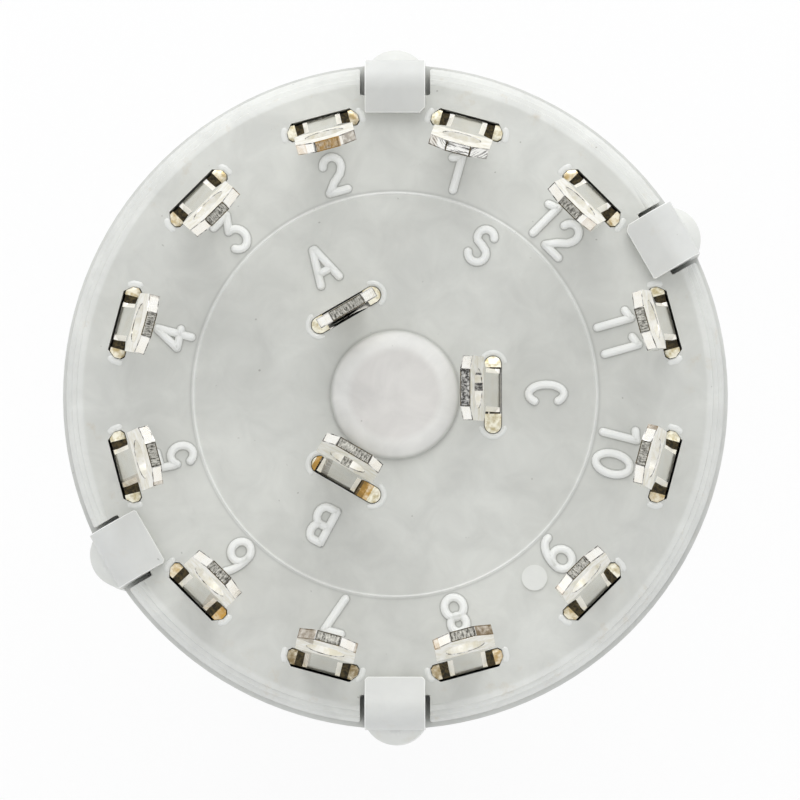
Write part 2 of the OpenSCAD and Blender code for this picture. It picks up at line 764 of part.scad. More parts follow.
module spindle() {
    relief_r = bearing_r - relief_depth;
    shoulder_z = -bush_len - shoulder_out;
    color([0.86, 0.85, 0.80])
        difference() {
            union() {
                rotate_extrude()
                    polygon([
                        [0, -spindle_len],
                        [spindle_r - spindle_chamfer, -spindle_len],
                        [spindle_r, -spindle_len + spindle_chamfer],
                        [spindle_r, shoulder_z],
                        [bearing_r, shoulder_z],
                        [bearing_r, -bush_len + land_len],
                        [relief_r, -bush_len + land_len],
                        [relief_r, -land_len],
                        [bearing_r, -land_len],
                        [bearing_r, thrust_z],
                        [neck_r, thrust_z],
                        [neck_r, hub_z],
                        [core_r, hub_z],
                        [core_r, hub_z + hub_h],
                        [0, hub_z + hub_h]
                    ]);
                intersection() {
                    translate([0, 0, hub_z])
                        cylinder(r = arm_r, h = hub_h);
                    at_angle(ball_angle)
                        translate([-barrel_half, -2 * arm_r, hub_z])
                            cube([2 * barrel_half, 4 * arm_r, hub_h]);
                }
                at_angle(stop_lug_angle)
                    translate([0, 0, thrust_z])
                        intersection() {
                            cylinder(r = lug_out_r, h = stop_h + eps);
                            wedge(lug_half, lug_out_r, stop_h + eps);
                        }
                at_angle(stop_lug_angle)
                    translate([0, 0, hub_z])
                        intersection() {
                            cylinder(r = lug_out_r, h = hub_h / 3);
                            wedge(lug_half, lug_out_r, hub_h / 3);
                        }
                translate([0, 0, hub_z + hub_h - eps])
                    cylinder(d = hex_d, h = carrier_gap + carrier_t - bridge_sunk + eps, $fn = 6);
                translate([0, 0, hub_z + hub_h])
                    cylinder(d = pivot_d, h = pivot_end - hub_z - hub_h);
            }
            at_angle(ball_angle)
                translate([0, -arm_r - eps, ball_z])
                    rotate([-90, 0, 0])
                        cylinder(r = ball_r + ball_play, h = 2 * arm_r + 2 * eps);
            translate([spindle_r - flat_depth, -spindle_r, -spindle_len - eps])
                cube([spindle_d, spindle_d, spindle_len + shoulder_z + eps]);
        }
}

module detent_ball(side) {
    color([0.75, 0.76, 0.78])
        at_angle(ball_angle)
            translate([0, side * ball_seat_r, ball_z])
                sphere(r = ball_r);
}

// Coil spring that fills the cross bore between the two balls
module detent_spring() {
    mean_r = ball_spring_d / 2 - ball_wire_d / 2;
    reach = ball_seat_r - sqrt(ball_r * ball_r - mean_r * mean_r) - ball_wire_d / 2;
    color([0.70, 0.71, 0.73])
        at_angle(ball_angle)
            translate([0, -reach, ball_z])
                rotate([-90, 0, 0])
                    coil(ball_spring_d, ball_wire_d, 2 * reach, ball_turns);
}

module contact_carrier() {
    channel_half = bridge_w / 2 + bridge_gap;
    arm_half = channel_half + 2 * cup_wall;
    color([0.25, 0.26, 0.27])
        difference() {
            union() {
                translate([0, 0, carrier_z])
                    cylinder(r = cup_r - cup_out_r - cup_wall, h = carrier_t);
                for (k = [0:2])
                    at_angle(way_1_angle + k * pole_step_angle) {
                        intersection() {
                            translate([0, 0, carrier_z])
                                cylinder(r = carrier_r, h = carrier_t);
                            translate([-arm_half, 0, carrier_z])
                                cube([2 * arm_half, 2 * carrier_r, carrier_t]);
                        }
                        translate([0, cup_r, carrier_z - cup_depth])
                            cylinder(r = cup_out_r, h = cup_depth + carrier_t / 2);
                    }
            }
            translate([0, 0, carrier_z - eps])
                cylinder(r = hex_d / 2 + hex_gap, h = carrier_t + 2 * eps, $fn = 6);
            for (k = [0:2])
                at_angle(way_1_angle + k * pole_step_angle) {
                    translate([-channel_half, bridge_in_r - bridge_gap, channel_z])
                        cube([2 * channel_half, bridge_out_r - bridge_in_r + 2 * bridge_gap, carrier_t]);
                    translate([0, cup_r, carrier_z - cup_depth + cup_wall])
                        cylinder(r = cup_in_r, h = cup_depth + carrier_t);
                }
        }
}

// Strip with two domed points, which joins a pole plate to one way
module contact_bridge(index) {
    point_z = contact_z - contact_gap - point_r;
    color([0.82, 0.80, 0.74])
        at_angle(way_1_angle + index * pole_step_angle) {
            translate([-bridge_w / 2, bridge_in_r, bridge_back])
                cube([bridge_w, bridge_out_r - bridge_in_r, bridge_t]);
            for (r = [pole_point_r, way_point_r])
                intersection() {
                    translate([0, r, point_z])
                        sphere(r = point_r);
                    translate([-bridge_w / 2, bridge_in_r, bridge_back + eps])
                        cube([bridge_w, bridge_out_r - bridge_in_r, 2 * point_r]);
                }
        }
}

module contact_spring(index) {
    floor_z = carrier_z - cup_depth + cup_wall;
    color([0.70, 0.71, 0.73])
        at_angle(way_1_angle + index * pole_step_angle)
            translate([0, cup_r, floor_z + eps])
                coil(contact_spring_d, contact_wire_d, bridge_back - floor_z - 2 * eps, contact_turns);
}

housing();
base();
spindle();
contact_carrier();
stop_ring();
detent_ball(1);  // detent_ball_1
detent_ball(-1);  // detent_ball_2
detent_spring();
for (k = [0:2]) contact_bridge(k);
for (k = [0:2]) contact_spring(k);
for (k = [1:12]) terminal(k);
for (k = [0:2]) pole(k);
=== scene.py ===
"""Rotary switch: the finish of every surface, rounded edges, raised characters, slot lips and bush thread.

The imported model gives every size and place. Z runs along the spindle, the solder tags point to +Z.
"""

import json
import math

import bmesh
import bpy
from mathutils import Matrix, Vector


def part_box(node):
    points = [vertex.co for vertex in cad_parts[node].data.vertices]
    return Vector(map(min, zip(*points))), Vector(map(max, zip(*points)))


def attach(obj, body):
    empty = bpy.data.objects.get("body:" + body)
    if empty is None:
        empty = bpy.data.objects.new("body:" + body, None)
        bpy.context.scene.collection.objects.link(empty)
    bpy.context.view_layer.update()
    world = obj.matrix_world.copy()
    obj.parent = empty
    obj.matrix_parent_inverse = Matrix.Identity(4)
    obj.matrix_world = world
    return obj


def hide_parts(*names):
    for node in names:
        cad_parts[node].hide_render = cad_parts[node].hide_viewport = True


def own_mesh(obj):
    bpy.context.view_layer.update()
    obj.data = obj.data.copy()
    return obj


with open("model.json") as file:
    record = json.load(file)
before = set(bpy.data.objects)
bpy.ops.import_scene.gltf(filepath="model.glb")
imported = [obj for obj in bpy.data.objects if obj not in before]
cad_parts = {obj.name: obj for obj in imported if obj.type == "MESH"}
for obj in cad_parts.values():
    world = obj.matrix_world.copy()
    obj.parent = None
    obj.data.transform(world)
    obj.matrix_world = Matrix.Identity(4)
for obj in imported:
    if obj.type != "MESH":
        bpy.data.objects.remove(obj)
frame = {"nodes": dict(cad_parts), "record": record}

bl_info = {
    "name": "Rotary Switch Finish",
    "version": (1, 0, 0),
    "blender": (4, 5, 0),
    "location": "View3D > Sidebar > Rotary Switch",
    "description": "Finishes a moulded rotary switch with its tags, characters and thread",
    "category": "Object",
}

MM = 0.001
# Points nearer than this are one point
WELD = 0.002 * MM
# Faces that differ by less than the first angle are one flat face, and edges beyond the second are sharp
FLAT, SHARP = math.radians(0.8), math.radians(28)
# Radius in mm at which the rings of tone on a moulding end
RING_SPAN = 15

# Where each tag stands, anticlockwise from +X
WAY_ANGLES = {f"terminal_{k + 1}": 75 + 30 * k for k in range(12)}
POLE_ANGLES = {"pole_a": 120, "pole_b": 240, "pole_c": 0}

# Each raised character: direction from the axis, distance of its middle and shift to its right, in mm
CHARACTERS = (
    ("1", 74.4, 9.45, 0.03), ("2", 105.1, 9.39, -0.06), ("3", 135.1, 9.38, -0.04), ("4", 165.3, 9.39, -0.02),
    ("5", 195.5, 9.33, -0.03), ("6", 226.3, 9.3, 0.12), ("7", 255.2, 9.33, 0), ("8", 286.0, 9.35, 0.08),
    ("9", 315.8, 9.31, 0.06), ("1", 345.5, 9.35, -0.66), ("0", 345.5, 9.35, 0.51),
    ("1", 15.8, 9.45, -0.39), ("1", 15.8, 9.45, 0.74), ("1", 45.1, 9.43, -0.68), ("2", 45.1, 9.43, 0.39),
    ("A", 118.2, 6.09, -0.14), ("B", 241.8, 6.08, 0.14), ("C", 0.8, 6.2, 0.02), ("S", 59.7, 7.07, -0.03),
)

# Stains on the tags: part of the tag, from and to along its slot in mm, strength of brown and of amber.
# A stain in an eyelet is a crust like the cut end's.
STAINS = {
    "terminal_1": (("tip", -1.5, -0.9, 0.2, 0.1),),
    "terminal_2": (
        ("tip", -0.5, 0.5, 0.35, 0.75), ("tip", 0.6, 1.6, 0.6, 0), ("tip", -1.3, -0.9, 0.05, 0.3),
        ("shoulder", 1.1, 1.5, 0.3, 0.3)),
    "terminal_3": (("tip", 1.15, 1.5, 0, 0.3), ("shoulder", -1.5, 1.5, 0.05, 0.2)),
    "terminal_4": (("tip", 1.1, 1.6, 0.35, 0), ("shoulder", -1.5, 1.5, 0.1, 0.15)),
    "terminal_5": (("tip", -1.5, -1.1, 0.35, 0.1), ("neck", -0.9, -0.5, 0.25, 0.3)),
    "terminal_6": (
        ("shoulder", -1.5, -1.1, 0.15, 0.95), ("shoulder", 1.1, 1.5, 0.05, 0.4),
        ("neck", -0.9, -0.5, 0.1, 0.3)),
    "terminal_7": (
        ("shoulder", -1.5, 1.5, 0.75, 0.2), ("tip", -1.6, -1.15, 0.5, 0.2), ("tip", 0.5, 1.6, 0.65, 0.15),
        ("neck", 0.5, 0.9, 0.3, 0.2)),
    "terminal_8": (
        ("shoulder", -1.5, -1.1, 0.3, 0.6), ("shoulder", 1.1, 1.5, 0.55, 0.3),
        ("tip", -1.8, -0.65, 0.85, 0.35), ("tip", 0.9, 1.3, 0.15, 0.35)),
    "terminal_9": (("shoulder", 1.1, 1.5, 0.15, 0.2), ("tip", 0.9, 1.3, 0, 0.2)),
    "terminal_10": (
        ("tip", -1.8, -1.5, 0.8, 0.3), ("tip", -1.35, -1.15, 0.65, 0.2), ("shoulder", 1.1, 1.5, 0.1, 0.25)),
    "terminal_12": (("shoulder", -1.5, 1.5, 0.05, 0.35), ("tip", 0.6, 1.2, 0.1, 0.15)),
    "pole_b": (
        ("shoulder", -1.15, -0.95, 0.3, 1.0), ("shoulder", -0.95, -0.7, 0.9, 2.0),
        ("shoulder", -0.7, -0.4, 2.0, 0.5), ("shoulder", 1.2, 1.5, 0.5, 1.5),
        ("neck", 0.75, 1.05, 0.9, 0), ("eyelet", 0.05, 0.45, 0, 0)),
    "pole_c": (("eyelet", -0.35, -0.03, 0, 0), ("eyelet", -0.75, -0.66, 0, 0)),
}

# Tags whose cut ends are covered by burnt flux or smeared by the shears
CUT_ENDS = {"pole_c": "black_flux", "terminal_1": "smeared_end"}
# Shift of the cut ends' pattern from one tag to the next
TAG_MAP_STEP = 3.7


def linear(code):
    """A linear colour from an sRGB hex code."""
    parts = [int(code[i : i + 2], 16) / 255 for i in (1, 3, 5)]
    return [p / 12.92 if p <= 0.04045 else ((p + 0.055) / 1.055) ** 2.4 for p in parts]


def flat_level(node):
    """Height of the node's largest level face that looks up."""
    areas = {}
    for face in frame["nodes"][node].data.polygons:
        if face.normal.z > 0.999:
            level = round(face.center.z / MM, 2)
            areas[level] = areas.get(level, 0) + face.area
    return max(areas, key=areas.get) * MM


# Directions from +X of the bright fans of painted sheen on the base, with painted shade between them, and
# half a fan's width, in degrees
FANS, FAN_HALF = (-152, -60, 58, 118), 20
FAN_BRIGHT, FAN_DARK = 1.11, 0.92
# Radii between which the fans of painted sheen come in from the middle, and the handling stains towards the
# rim
SHEEN_FADE = (2.7 * MM, 5.5 * MM)
STAIN_FADE = (11.6 * MM, 12.7 * MM)
# Widths of the patterns on the mouldings: flow wisps, dust, dirt, moulded grain and broad waves
WISP_W, DUST_W, DIRT_W, GRAIN_W, WAVE_W = (width * MM for width in (1.6, 0.3, 0.9, 0.12, 4.0))
# Widths of the patterns on the metal: bites of tarnish, scratches and oil film
BITE_W, SCRATCH_W, FILM_W = (width * MM for width in (0.25, 0.1, 1.2))
DUST, YELLOWED = "#77746B", "#DCC487"

MOUNTS = {m["name"]: m for m in frame["record"]["mounts"]}
BUSH_R, BUSH_LEN = (MOUNTS["bush"]["dims"][key] * MM for key in ("r_mm", "length_mm"))
# Chamfer at the bush's end, and how far from the collar the thread runs out
BUSH_CHAMFER = 0.5 * MM
RUN_OUT = 0.7 * MM
THREAD_STEPS = 48
BASE_Z = flat_level("base")
BASE_LOW, BASE_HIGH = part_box("base")
BASE_R = BASE_HIGH.x
# Outside of the drum round the base, and its rim below the base's face
DRUM_R = BASE_R + 0.2 * MM
RIM_Z = BASE_Z - 2.0 * MM
SPINDLE_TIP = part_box("spindle")[0].z

# Radii on the base in mm: the boss's flat top, its rounded shoulder with a painted highlight and the painted
# shade at its foot; the fine raised circle and half its width; and where the painted highlights on the thin
# rims of the base and the drum begin
BOSS_TOP, BOSS_SHOULDER, BOSS_FOOT = 1.72, (2.0, 2.5), (2.67, 2.76)
CIRCLE_R, CIRCLE_HALF = 8.28, 0.09
BASE_RIM, DRUM_RIM = (12.74, 12.86), (13.72, 13.95)
# Radii between which the slots lie, beyond which the notches and hooks stand, and where the rim is crisp
SLOTS_FROM, SLOTS_TO = 2.8 * MM, BASE_R - 0.75 * MM
NOTCHES_FROM, HOOKS_FROM, CRISP_FROM = 12.2 * MM, 11 * MM, 12.6 * MM
# Lowest height of a notch's upright corners, and their least length
NOTCH_FOOT, NOTCH_UPRIGHT = BASE_LOW.z + 1.3 * MM, 1.2 * MM
# Place and reach of the ejector mark
MARK_ANGLE = math.radians(-52.7)
MARK_R = 9.43 * MM
MARK_REACH = 0.6 * MM
# A way slot's half length and its outer and inner sides
WAY_SLOT = (1.52 * MM, 11.86 * MM, 11.1 * MM)
# Half the length between the round ends of a pole slot, their radius, and the slot's distance from the axis
POLE_SLOT = (1.24 * MM, 0.37 * MM, 4.015 * MM)
# From a slot's end to the middle of its lip
LIP_GAP = 0.13 * MM
# Height of the thin flat band of painted shade round each raised stroke
SHADE_LINE_H = 0.012 * MM

EYELET_R = MOUNTS["eyelet_1"]["dims"]["r_mm"] * MM
# Half a neck's width in mm, for the way tags and the pole tags
HALF_NECKS = {"terminal": 0.79, "pole": 0.885}
# How far below its eyelet a tag's head begins
HEAD_REACH = 1.05 * MM
# Heights up a tag's blade from the middle of its eyelet, in mm
COINED_TO, NECK_FROM, NECK_TO = -1.4, -4.0, -1.6
CORNERS_FROM, TIP_FROM, CUT_END_FROM = 0.8, 0.9, 1.5
# The dark ring round an eyelet, partly burr and partly painted dark reflection, and the edge of its wall,
# within which the wall is painted bright, in mm from its middle
EYELET_DARK_RING, EYELET_WALL = (0.79, 0.87), 0.82
# Heights of the staked shoulders, and how far below the base's face the dark step in a slot is
STAKED_FROM, STAKED_TO, SLOT_STEP = BASE_Z - 0.5 * MM, BASE_Z + 0.2 * MM, 0.65 * MM
# Least area of a corner face that gets a burr
CORNER_AREA = 0.05 * MM * MM
# Numbers of a tag's finishes: bare plate, coined edge, painted near white as its highlight, shoulder, cut
# end, burrs, partly painted dark reflection, and the head's paler plate, a painted reflection
PLATE, ROLLED, STAKED, CUT_END, DARK_BURR, BURR_AND_REFLECTION, PALE = range(7)

# Places and width of the soft boxes, and from the middle of the base to where the camera aims
KEY_PLACE, FILL_PLACE, SOFT_BOX = (0.02, 0.25, 0.19), (-0.2, -0.05, 0.16), 0.2
AIM_SHIFT = Vector((0.205 * MM, -0.217 * MM, 0))
# The floor's radius, how far it is below the spindle, and how white the camera sees it
FLOOR_R, FLOOR_GAP, FLOOR_WHITE = 2.0, 0.1 * MM, 0.85
# Where the room light goes over from the sides to above: 0 is level and 1 is straight up
ROOM_FADE = (0.1, 0.95)


def length_setting(name, description, mm, least=0):
    """A length that the user can change, with its default in mm."""
    return bpy.props.FloatProperty(
        name=name, description=description, default=mm * MM, min=least * MM, precision=5, unit="LENGTH")


def colour_setting(name, description, code):
    """A colour that the user can change, with its default as an sRGB hex code."""
    return bpy.props.FloatVectorProperty(
        name=name, description=description, default=linear(code), min=0, max=1, size=3, subtype="COLOR")


class SwitchSizes(bpy.types.PropertyGroup):
    """Sizes that the finish adds to the model."""

    tag_edge: length_setting("Tag edge", "Rounding of a tag's stamped edges", 0.03)
    eyelet_edge: length_setting("Eyelet edge", "Width of the burr round an eyelet", 0.045)
    outline: length_setting("Outline", "Width of the burr round a tag's cut end and corners", 0.04)
    slot_edge: length_setting("Slot edge", "Rounding of the slots' edges in the base", 0.03)
    hook_edge: length_setting("Hook edge", "Rounding of the hooks' edges", 0.09)
    small_edge: length_setting("Small edge", "Rounding of the inner pieces' edges", 0.04)
    stroke_w: length_setting("Stroke width", "Width of a raised character's stroke", 0.33)
    stroke_h: length_setting("Stroke height", "Height of a raised character above the base", 0.2)
    # The line on each side of a raised stroke is painted shade along its foot
    shade_line_w: length_setting("Foot width", "Width of the line of dust on each side of a raised stroke", 0.05)
    character_w: length_setting("Character width", "Width between the middles of its strokes", 0.78)
    character_h: length_setting("Character height", "Height between the middles of its strokes", 1.44)
    lip_w: length_setting("Lip width", "Width of the raised lip at a slot's ends", 0.3)
    lip_h: length_setting("Lip height", "Height of the raised lip at a slot's ends", 0.05)
    drum_edge: length_setting("Drum edge", "Rounding of the drum's, lugs' and pip's edges", 0.12)
    notch_edge: length_setting("Notch edge", "Rounding of the upright corners of the base's notches", 0.16)
    thread_pitch: length_setting("Thread pitch", "Pitch of the bush's thread", 0.75, least=0.1)
    thread_depth: length_setting("Thread depth", "Depth of the bush's thread", 0.42)


class SwitchColours(bpy.types.PropertyGroup):
    """Colours of the switch's finishes."""

    base_plastic: colour_setting("Base plastic", "Light grey moulding of the base", "#D0D1CB")
    housing_plastic: colour_setting("Housing plastic", "Moulding of the drum and its hooks", "#D3D4D0")
    # A paler tone painted as highlight on raised strokes, rounded edges, rims, lips and the raised circle
    highlight_plastic: colour_setting("Pale plastic", "Raised strokes and thin edges of the mouldings", "#EEEFEB")
    boss_plastic: colour_setting("Boss plastic", "Slightly warmer and paler centre boss", "#D9D7D3")
    plastic_stain: colour_setting("Plastic stain", "Handling stains on the base", "#B59B6B")
    silver: colour_setting("Silver plate", "Silver-plated brass strip of the tags", "#F8F7F2")
    tarnish: colour_setting("Tarnish", "Olive brown tarnish on the tags", "#625032")
    amber: colour_setting("Amber", "Amber flux stain on the tags", "#D2A24A")
    staked_brass: colour_setting("Staked brass", "Shoulders where staking has rubbed the plate", "#F3EFDC")
    # Near-white, nearly matt tone painted on the coined strips as their highlight
    coined_highlight: colour_setting("Coined brass", "Pale coined strips along the tags' necks", "#FDFAEF")
    sheared_brass: colour_setting("Sheared brass", "Dull cut end of a tag", "#D2D0C6")
    burr: colour_setting("Burr", "Dark torn rim round the cut ends and eyelets", "#3B3831")
    flux: colour_setting("Flux", "Burnt flux on the cut end of a pole tag", "#1F1C18")
    spindle_plastic: colour_setting("Spindle plastic", "Off-white acetal of the spindle", "#DAD7CB")
    carrier_plastic: colour_setting("Carrier plastic", "Black phenolic of the contact carrier", "#2E2F30")
    ring_plastic: colour_setting("Ring plastic", "Black nylon of the stop ring", "#38393A")
    steel: colour_setting("Steel", "Hardened balls and spring wire", "#C9CBCE")


class SwitchStage(bpy.types.PropertyGroup):
    """Camera and light of the studio."""

    camera_distance: length_setting("Camera distance", "From the camera to the base's face", 400, least=100)
    lens: bpy.props.FloatProperty(
        name="Lens", description="Focal length on a 36 mm sensor, in mm", default=439.0, min=50)
    tilt: bpy.props.FloatProperty(
        name="Tilt", description="How far the camera leans from the spindle axis",
        default=math.radians(2.2), subtype="ANGLE")
    tilt_direction: bpy.props.FloatProperty(
        name="Tilt direction", description="Side to which the camera leans, from +X",
        default=math.radians(280), subtype="ANGLE")
    sky: bpy.props.FloatProperty(
        name="Sky", description="Strength of the room light from the sides", default=1.0, min=0)
    overhead: bpy.props.FloatProperty(
        name="Overhead", description="Strength of the room light from above", default=0.86, min=0)
    key_power: bpy.props.FloatProperty(
        name="Key power", description="Power of the soft box above the switch, in W", default=0.36, min=0)
    fill_power: bpy.props.FloatProperty(
        name="Fill power", description="Power of the low soft box, in W", default=0.02, min=0)


def add_node(tree, kind, values=None, links=None, **settings):
    """Adds a shader node with its settings, socket values and incoming links. A link comes from a socket,
    or from a node's first output in use."""
    made = tree.nodes.new(kind)
    for key, value in settings.items():
        setattr(made, key, value)
    for socket, value in (values or {}).items():
        made.inputs[socket].default_value = value
    for socket, source in (links or {}).items():
        if isinstance(source, bpy.types.Node):
            source = next(output for output in source.outputs if output.enabled)
        tree.links.new(source, made.inputs[socket])
    return made


def new_material(name):
    """An empty node material and its tree."""
    material = bpy.data.materials.new(name)
    material.use_nodes = True
    material.node_tree.nodes.clear()
    return material, material.node_tree


def ramp(made, *stops):
    """Sets a colour ramp's stops: position and grey level, or colour."""
    elements = made.color_ramp.elements
    while len(elements) < len(stops):
        elements.new(1.0)
    for element, (place, colour) in zip(elements, stops):
        element.position = place
        element.color = (colour, colour, colour, 1) if isinstance(colour, (int, float)) else (*colour, 1)
    return made


def radius_tone(tree, radius, rings):
    """A tone that changes with the radius: each ring is a radius in mm and a colour."""
    share = add_node(tree, "ShaderNodeMapRange", {"From Max": RING_SPAN * MM}, {"Value": radius})
    return ramp(
        add_node(tree, "ShaderNodeValToRGB", links={"Fac": share}),
        *((far / RING_SPAN, colour) for far, colour in rings))


def sheen_fans(tree, parts, radius, tone, sheen_and_flow):
    """The tone with light fans of painted sheen, and painted shade between them, spreading from the middle.
    """
    around = add_node(tree, "ShaderNodeMath", links={0: parts["Y"], 1: parts["X"]}, operation="ARCTAN2")
    turn = add_node(
        tree, "ShaderNodeMapRange", {"From Min": -math.pi, "From Max": math.pi}, {"Value": around})
    dark, bright = 1 + (FAN_DARK - 1) * sheen_and_flow, 1 + (FAN_BRIGHT - 1) * sheen_and_flow
    stops = [
        ((middle + 180 + side * FAN_HALF) / 360, dark if side else bright)
        for middle in FANS for side in (-1, 0, 1)]
    fan = ramp(add_node(tree, "ShaderNodeValToRGB", links={"Fac": turn}), (0, dark), *stops, (1, dark))
    fan.color_ramp.interpolation = "B_SPLINE"
    sheen_share = add_node(
        tree, "ShaderNodeMapRange", {"From Min": SHEEN_FADE[0], "From Max": SHEEN_FADE[1]}, {"Value": radius})
    return add_node(
        tree, "ShaderNodeMix", None, {"Factor": sheen_share, "A": tone, "B": fan},
        data_type="RGBA", blend_type="MULTIPLY")


def handled(tree, place, radius, clean, stain_amount):
    """The clean colour with dust specks, and with handling stains between the tags and the rim."""
    # A speck is the peak of the pattern, about 0.05 mm wide
    speck = add_node(tree, "ShaderNodeTexNoise", {"Scale": 1 / DUST_W, "Detail": 1.0}, {"Vector": place})
    speck_mask = ramp(add_node(tree, "ShaderNodeValToRGB", links={"Fac": speck}), (0.79, 0.0), (0.83, 0.5))
    specked = add_node(
        tree, "ShaderNodeMix", {"B": (*linear(DUST), 1)}, {"Factor": speck_mask, "A": clean},
        data_type="RGBA")
    ring = add_node(
        tree, "ShaderNodeMapRange", {"From Min": STAIN_FADE[0], "From Max": STAIN_FADE[1]},
        {"Value": radius}, interpolation_type="SMOOTHSTEP")
    dirt = add_node(
        tree, "ShaderNodeTexNoise", {"Scale": 1 / DIRT_W, "Detail": 4.0, "Roughness": 0.65},
        {"Vector": place})
    dirt_mask = ramp(
        add_node(tree, "ShaderNodeValToRGB", links={"Fac": dirt}), (0.6, 0.0), (0.78, stain_amount))
    stain = add_node(tree, "ShaderNodeMath", links={0: dirt_mask, 1: ring}, operation="MULTIPLY")
    return add_node(
        tree, "ShaderNodeMix", {"B": (*bpy.context.scene.switch_colours.plastic_stain, 1)},
        {"Factor": stain, "A": specked}, data_type="RGBA")


def moulded_plastic(tree, place, rings, stain_amount=0, sheen_and_flow=0, roughness=0.44):
    """Light grey thermoplastic from a spark-eroded mould: an even satin surface with a soft broad
    highlight, slight flow marks and fine dark specks. Its tone changes with the radius, in rings of painted
    highlight and painted shade; on the base, fans of painted sheen spread from the middle."""
    parts = add_node(tree, "ShaderNodeSeparateXYZ", links={"Vector": place}).outputs
    level = add_node(tree, "ShaderNodeCombineXYZ", links={"X": parts["X"], "Y": parts["Y"]})
    radius = add_node(tree, "ShaderNodeVectorMath", links={0: level}, operation="LENGTH")
    fanned = sheen_fans(tree, parts, radius, radius_tone(tree, radius, rings), sheen_and_flow)
    flow = add_node(
        tree, "ShaderNodeTexNoise",
        {"Scale": 1 / WISP_W, "Detail": 4.0, "Roughness": 0.6, "Distortion": 0.6}, {"Vector": place})
    flow_tone = ramp(
        add_node(tree, "ShaderNodeValToRGB", links={"Fac": flow}),
        (0.3, 1 - 0.04 * (1 + sheen_and_flow)), (0.7, 1 + 0.03 * (1 + sheen_and_flow)))
    toned = add_node(
        tree, "ShaderNodeMix", {"Factor": 1.0}, {"A": fanned, "B": flow_tone},
        data_type="RGBA", blend_type="MULTIPLY")
    stained = handled(tree, place, radius, toned, stain_amount)
    grain = add_node(tree, "ShaderNodeTexNoise", {"Scale": 1 / GRAIN_W, "Detail": 2.0}, {"Vector": place})
    wave = add_node(tree, "ShaderNodeTexNoise", {"Scale": 1 / WAVE_W, "Detail": 1.0}, {"Vector": place})
    fine = add_node(tree, "ShaderNodeBump", {"Strength": 0.12, "Distance": 0.01 * MM}, {"Height": grain})
    broad = add_node(
        tree, "ShaderNodeBump", {"Strength": 0.25, "Distance": 0.15 * MM}, {"Height": wave, "Normal": fine})
    rough = add_node(
        tree, "ShaderNodeMapRange", {"To Min": roughness, "To Max": roughness + 0.14}, {"Value": flow})
    return add_node(
        tree, "ShaderNodeBsdfPrincipled",
        {"IOR": 1.54, "Subsurface Weight": 0.12, "Subsurface Scale": 0.5 * MM,
         "Subsurface Radius": (1.0, 0.95, 0.85)},
        {"Base Color": stained, "Roughness": rough, "Normal": broad})


def plain_moulding(tree, place, colour, roughness, grain_mm):
    """Inner mouldings: an even engineering plastic with a fine moulded grain and faint flow marks."""
    flow = add_node(tree, "ShaderNodeTexNoise", {"Scale": 1 / (5 * MM), "Detail": 2.0}, {"Vector": place})
    tone = ramp(add_node(tree, "ShaderNodeValToRGB", links={"Fac": flow}), (0.3, 0.92), (0.7, 1.05))
    toned = add_node(
        tree, "ShaderNodeMix", {"Factor": 1.0, "A": (*colour, 1)}, {"B": tone},
        data_type="RGBA", blend_type="MULTIPLY")
    grain = add_node(
        tree, "ShaderNodeTexNoise", {"Scale": 1 / (grain_mm * MM), "Detail": 2.0}, {"Vector": place})
    bump = add_node(tree, "ShaderNodeBump", {"Strength": 0.2, "Distance": 0.02 * MM}, {"Height": grain})
    return add_node(
        tree, "ShaderNodeBsdfPrincipled", {"IOR": 1.5, "Roughness": roughness},
        {"Base Color": toned, "Normal": bump})


def tarnished(tree, place, clean):
    """The clean colour with amber flux and brown tarnish in bites, where the stain attributes put them."""
    colours = bpy.context.scene.switch_colours
    bite = add_node(tree, "ShaderNodeTexNoise", {"Scale": 1 / BITE_W, "Detail": 3.0}, {"Vector": place})
    level = ramp(add_node(tree, "ShaderNodeValToRGB", links={"Fac": bite}), (0.3, 0.3), (0.62, 1.0))
    for kind, tint in (("amber", colours.amber), ("brown", colours.tarnish)):
        stain = add_node(tree, "ShaderNodeAttribute", attribute_name=kind).outputs["Fac"]
        amount = add_node(tree, "ShaderNodeMath", links={0: stain, 1: level}, operation="MULTIPLY")
        clean = add_node(
            tree, "ShaderNodeMix", {"B": (*tint, 1)}, {"Factor": amount, "A": clean}, data_type="RGBA")
    return clean


def plated_metal(
        tree, place, colour, roughness, tints, tint=YELLOWED, patch_mm=0.8, metallic=1.0, dents=0.25):
    """Silver-plated brass strip, rolled and stamped: a soft mirror that greys and yellows in patches, from
    the first share of the tint to the second, and stained where the plating has tarnished."""
    patch = add_node(
        tree, "ShaderNodeTexNoise", {"Scale": 1 / (patch_mm * MM), "Detail": 3.0, "Roughness": 0.6},
        {"Vector": place})
    patch_mask = ramp(
        add_node(tree, "ShaderNodeValToRGB", links={"Fac": patch}), (0.4, tints[0]), (0.65, tints[1]))
    yellowed = add_node(
        tree, "ShaderNodeMix", {"A": (*colour, 1), "B": (*linear(tint), 1)},
        {"Factor": patch_mask}, data_type="RGBA")
    stained = tarnished(tree, place, yellowed)
    scratch = add_node(
        tree, "ShaderNodeTexNoise", {"Scale": 1 / SCRATCH_W, "Detail": 2.0}, {"Vector": place})
    bump = add_node(tree, "ShaderNodeBump", {"Strength": dents, "Distance": 0.01 * MM}, {"Height": scratch})
    rough = add_node(
        tree, "ShaderNodeMapRange", {"To Min": roughness - 0.06, "To Max": roughness + 0.12},
        {"Value": patch})
    return add_node(
        tree, "ShaderNodeBsdfPrincipled", {"Metallic": metallic},
        {"Base Color": stained, "Roughness": rough, "Normal": bump})


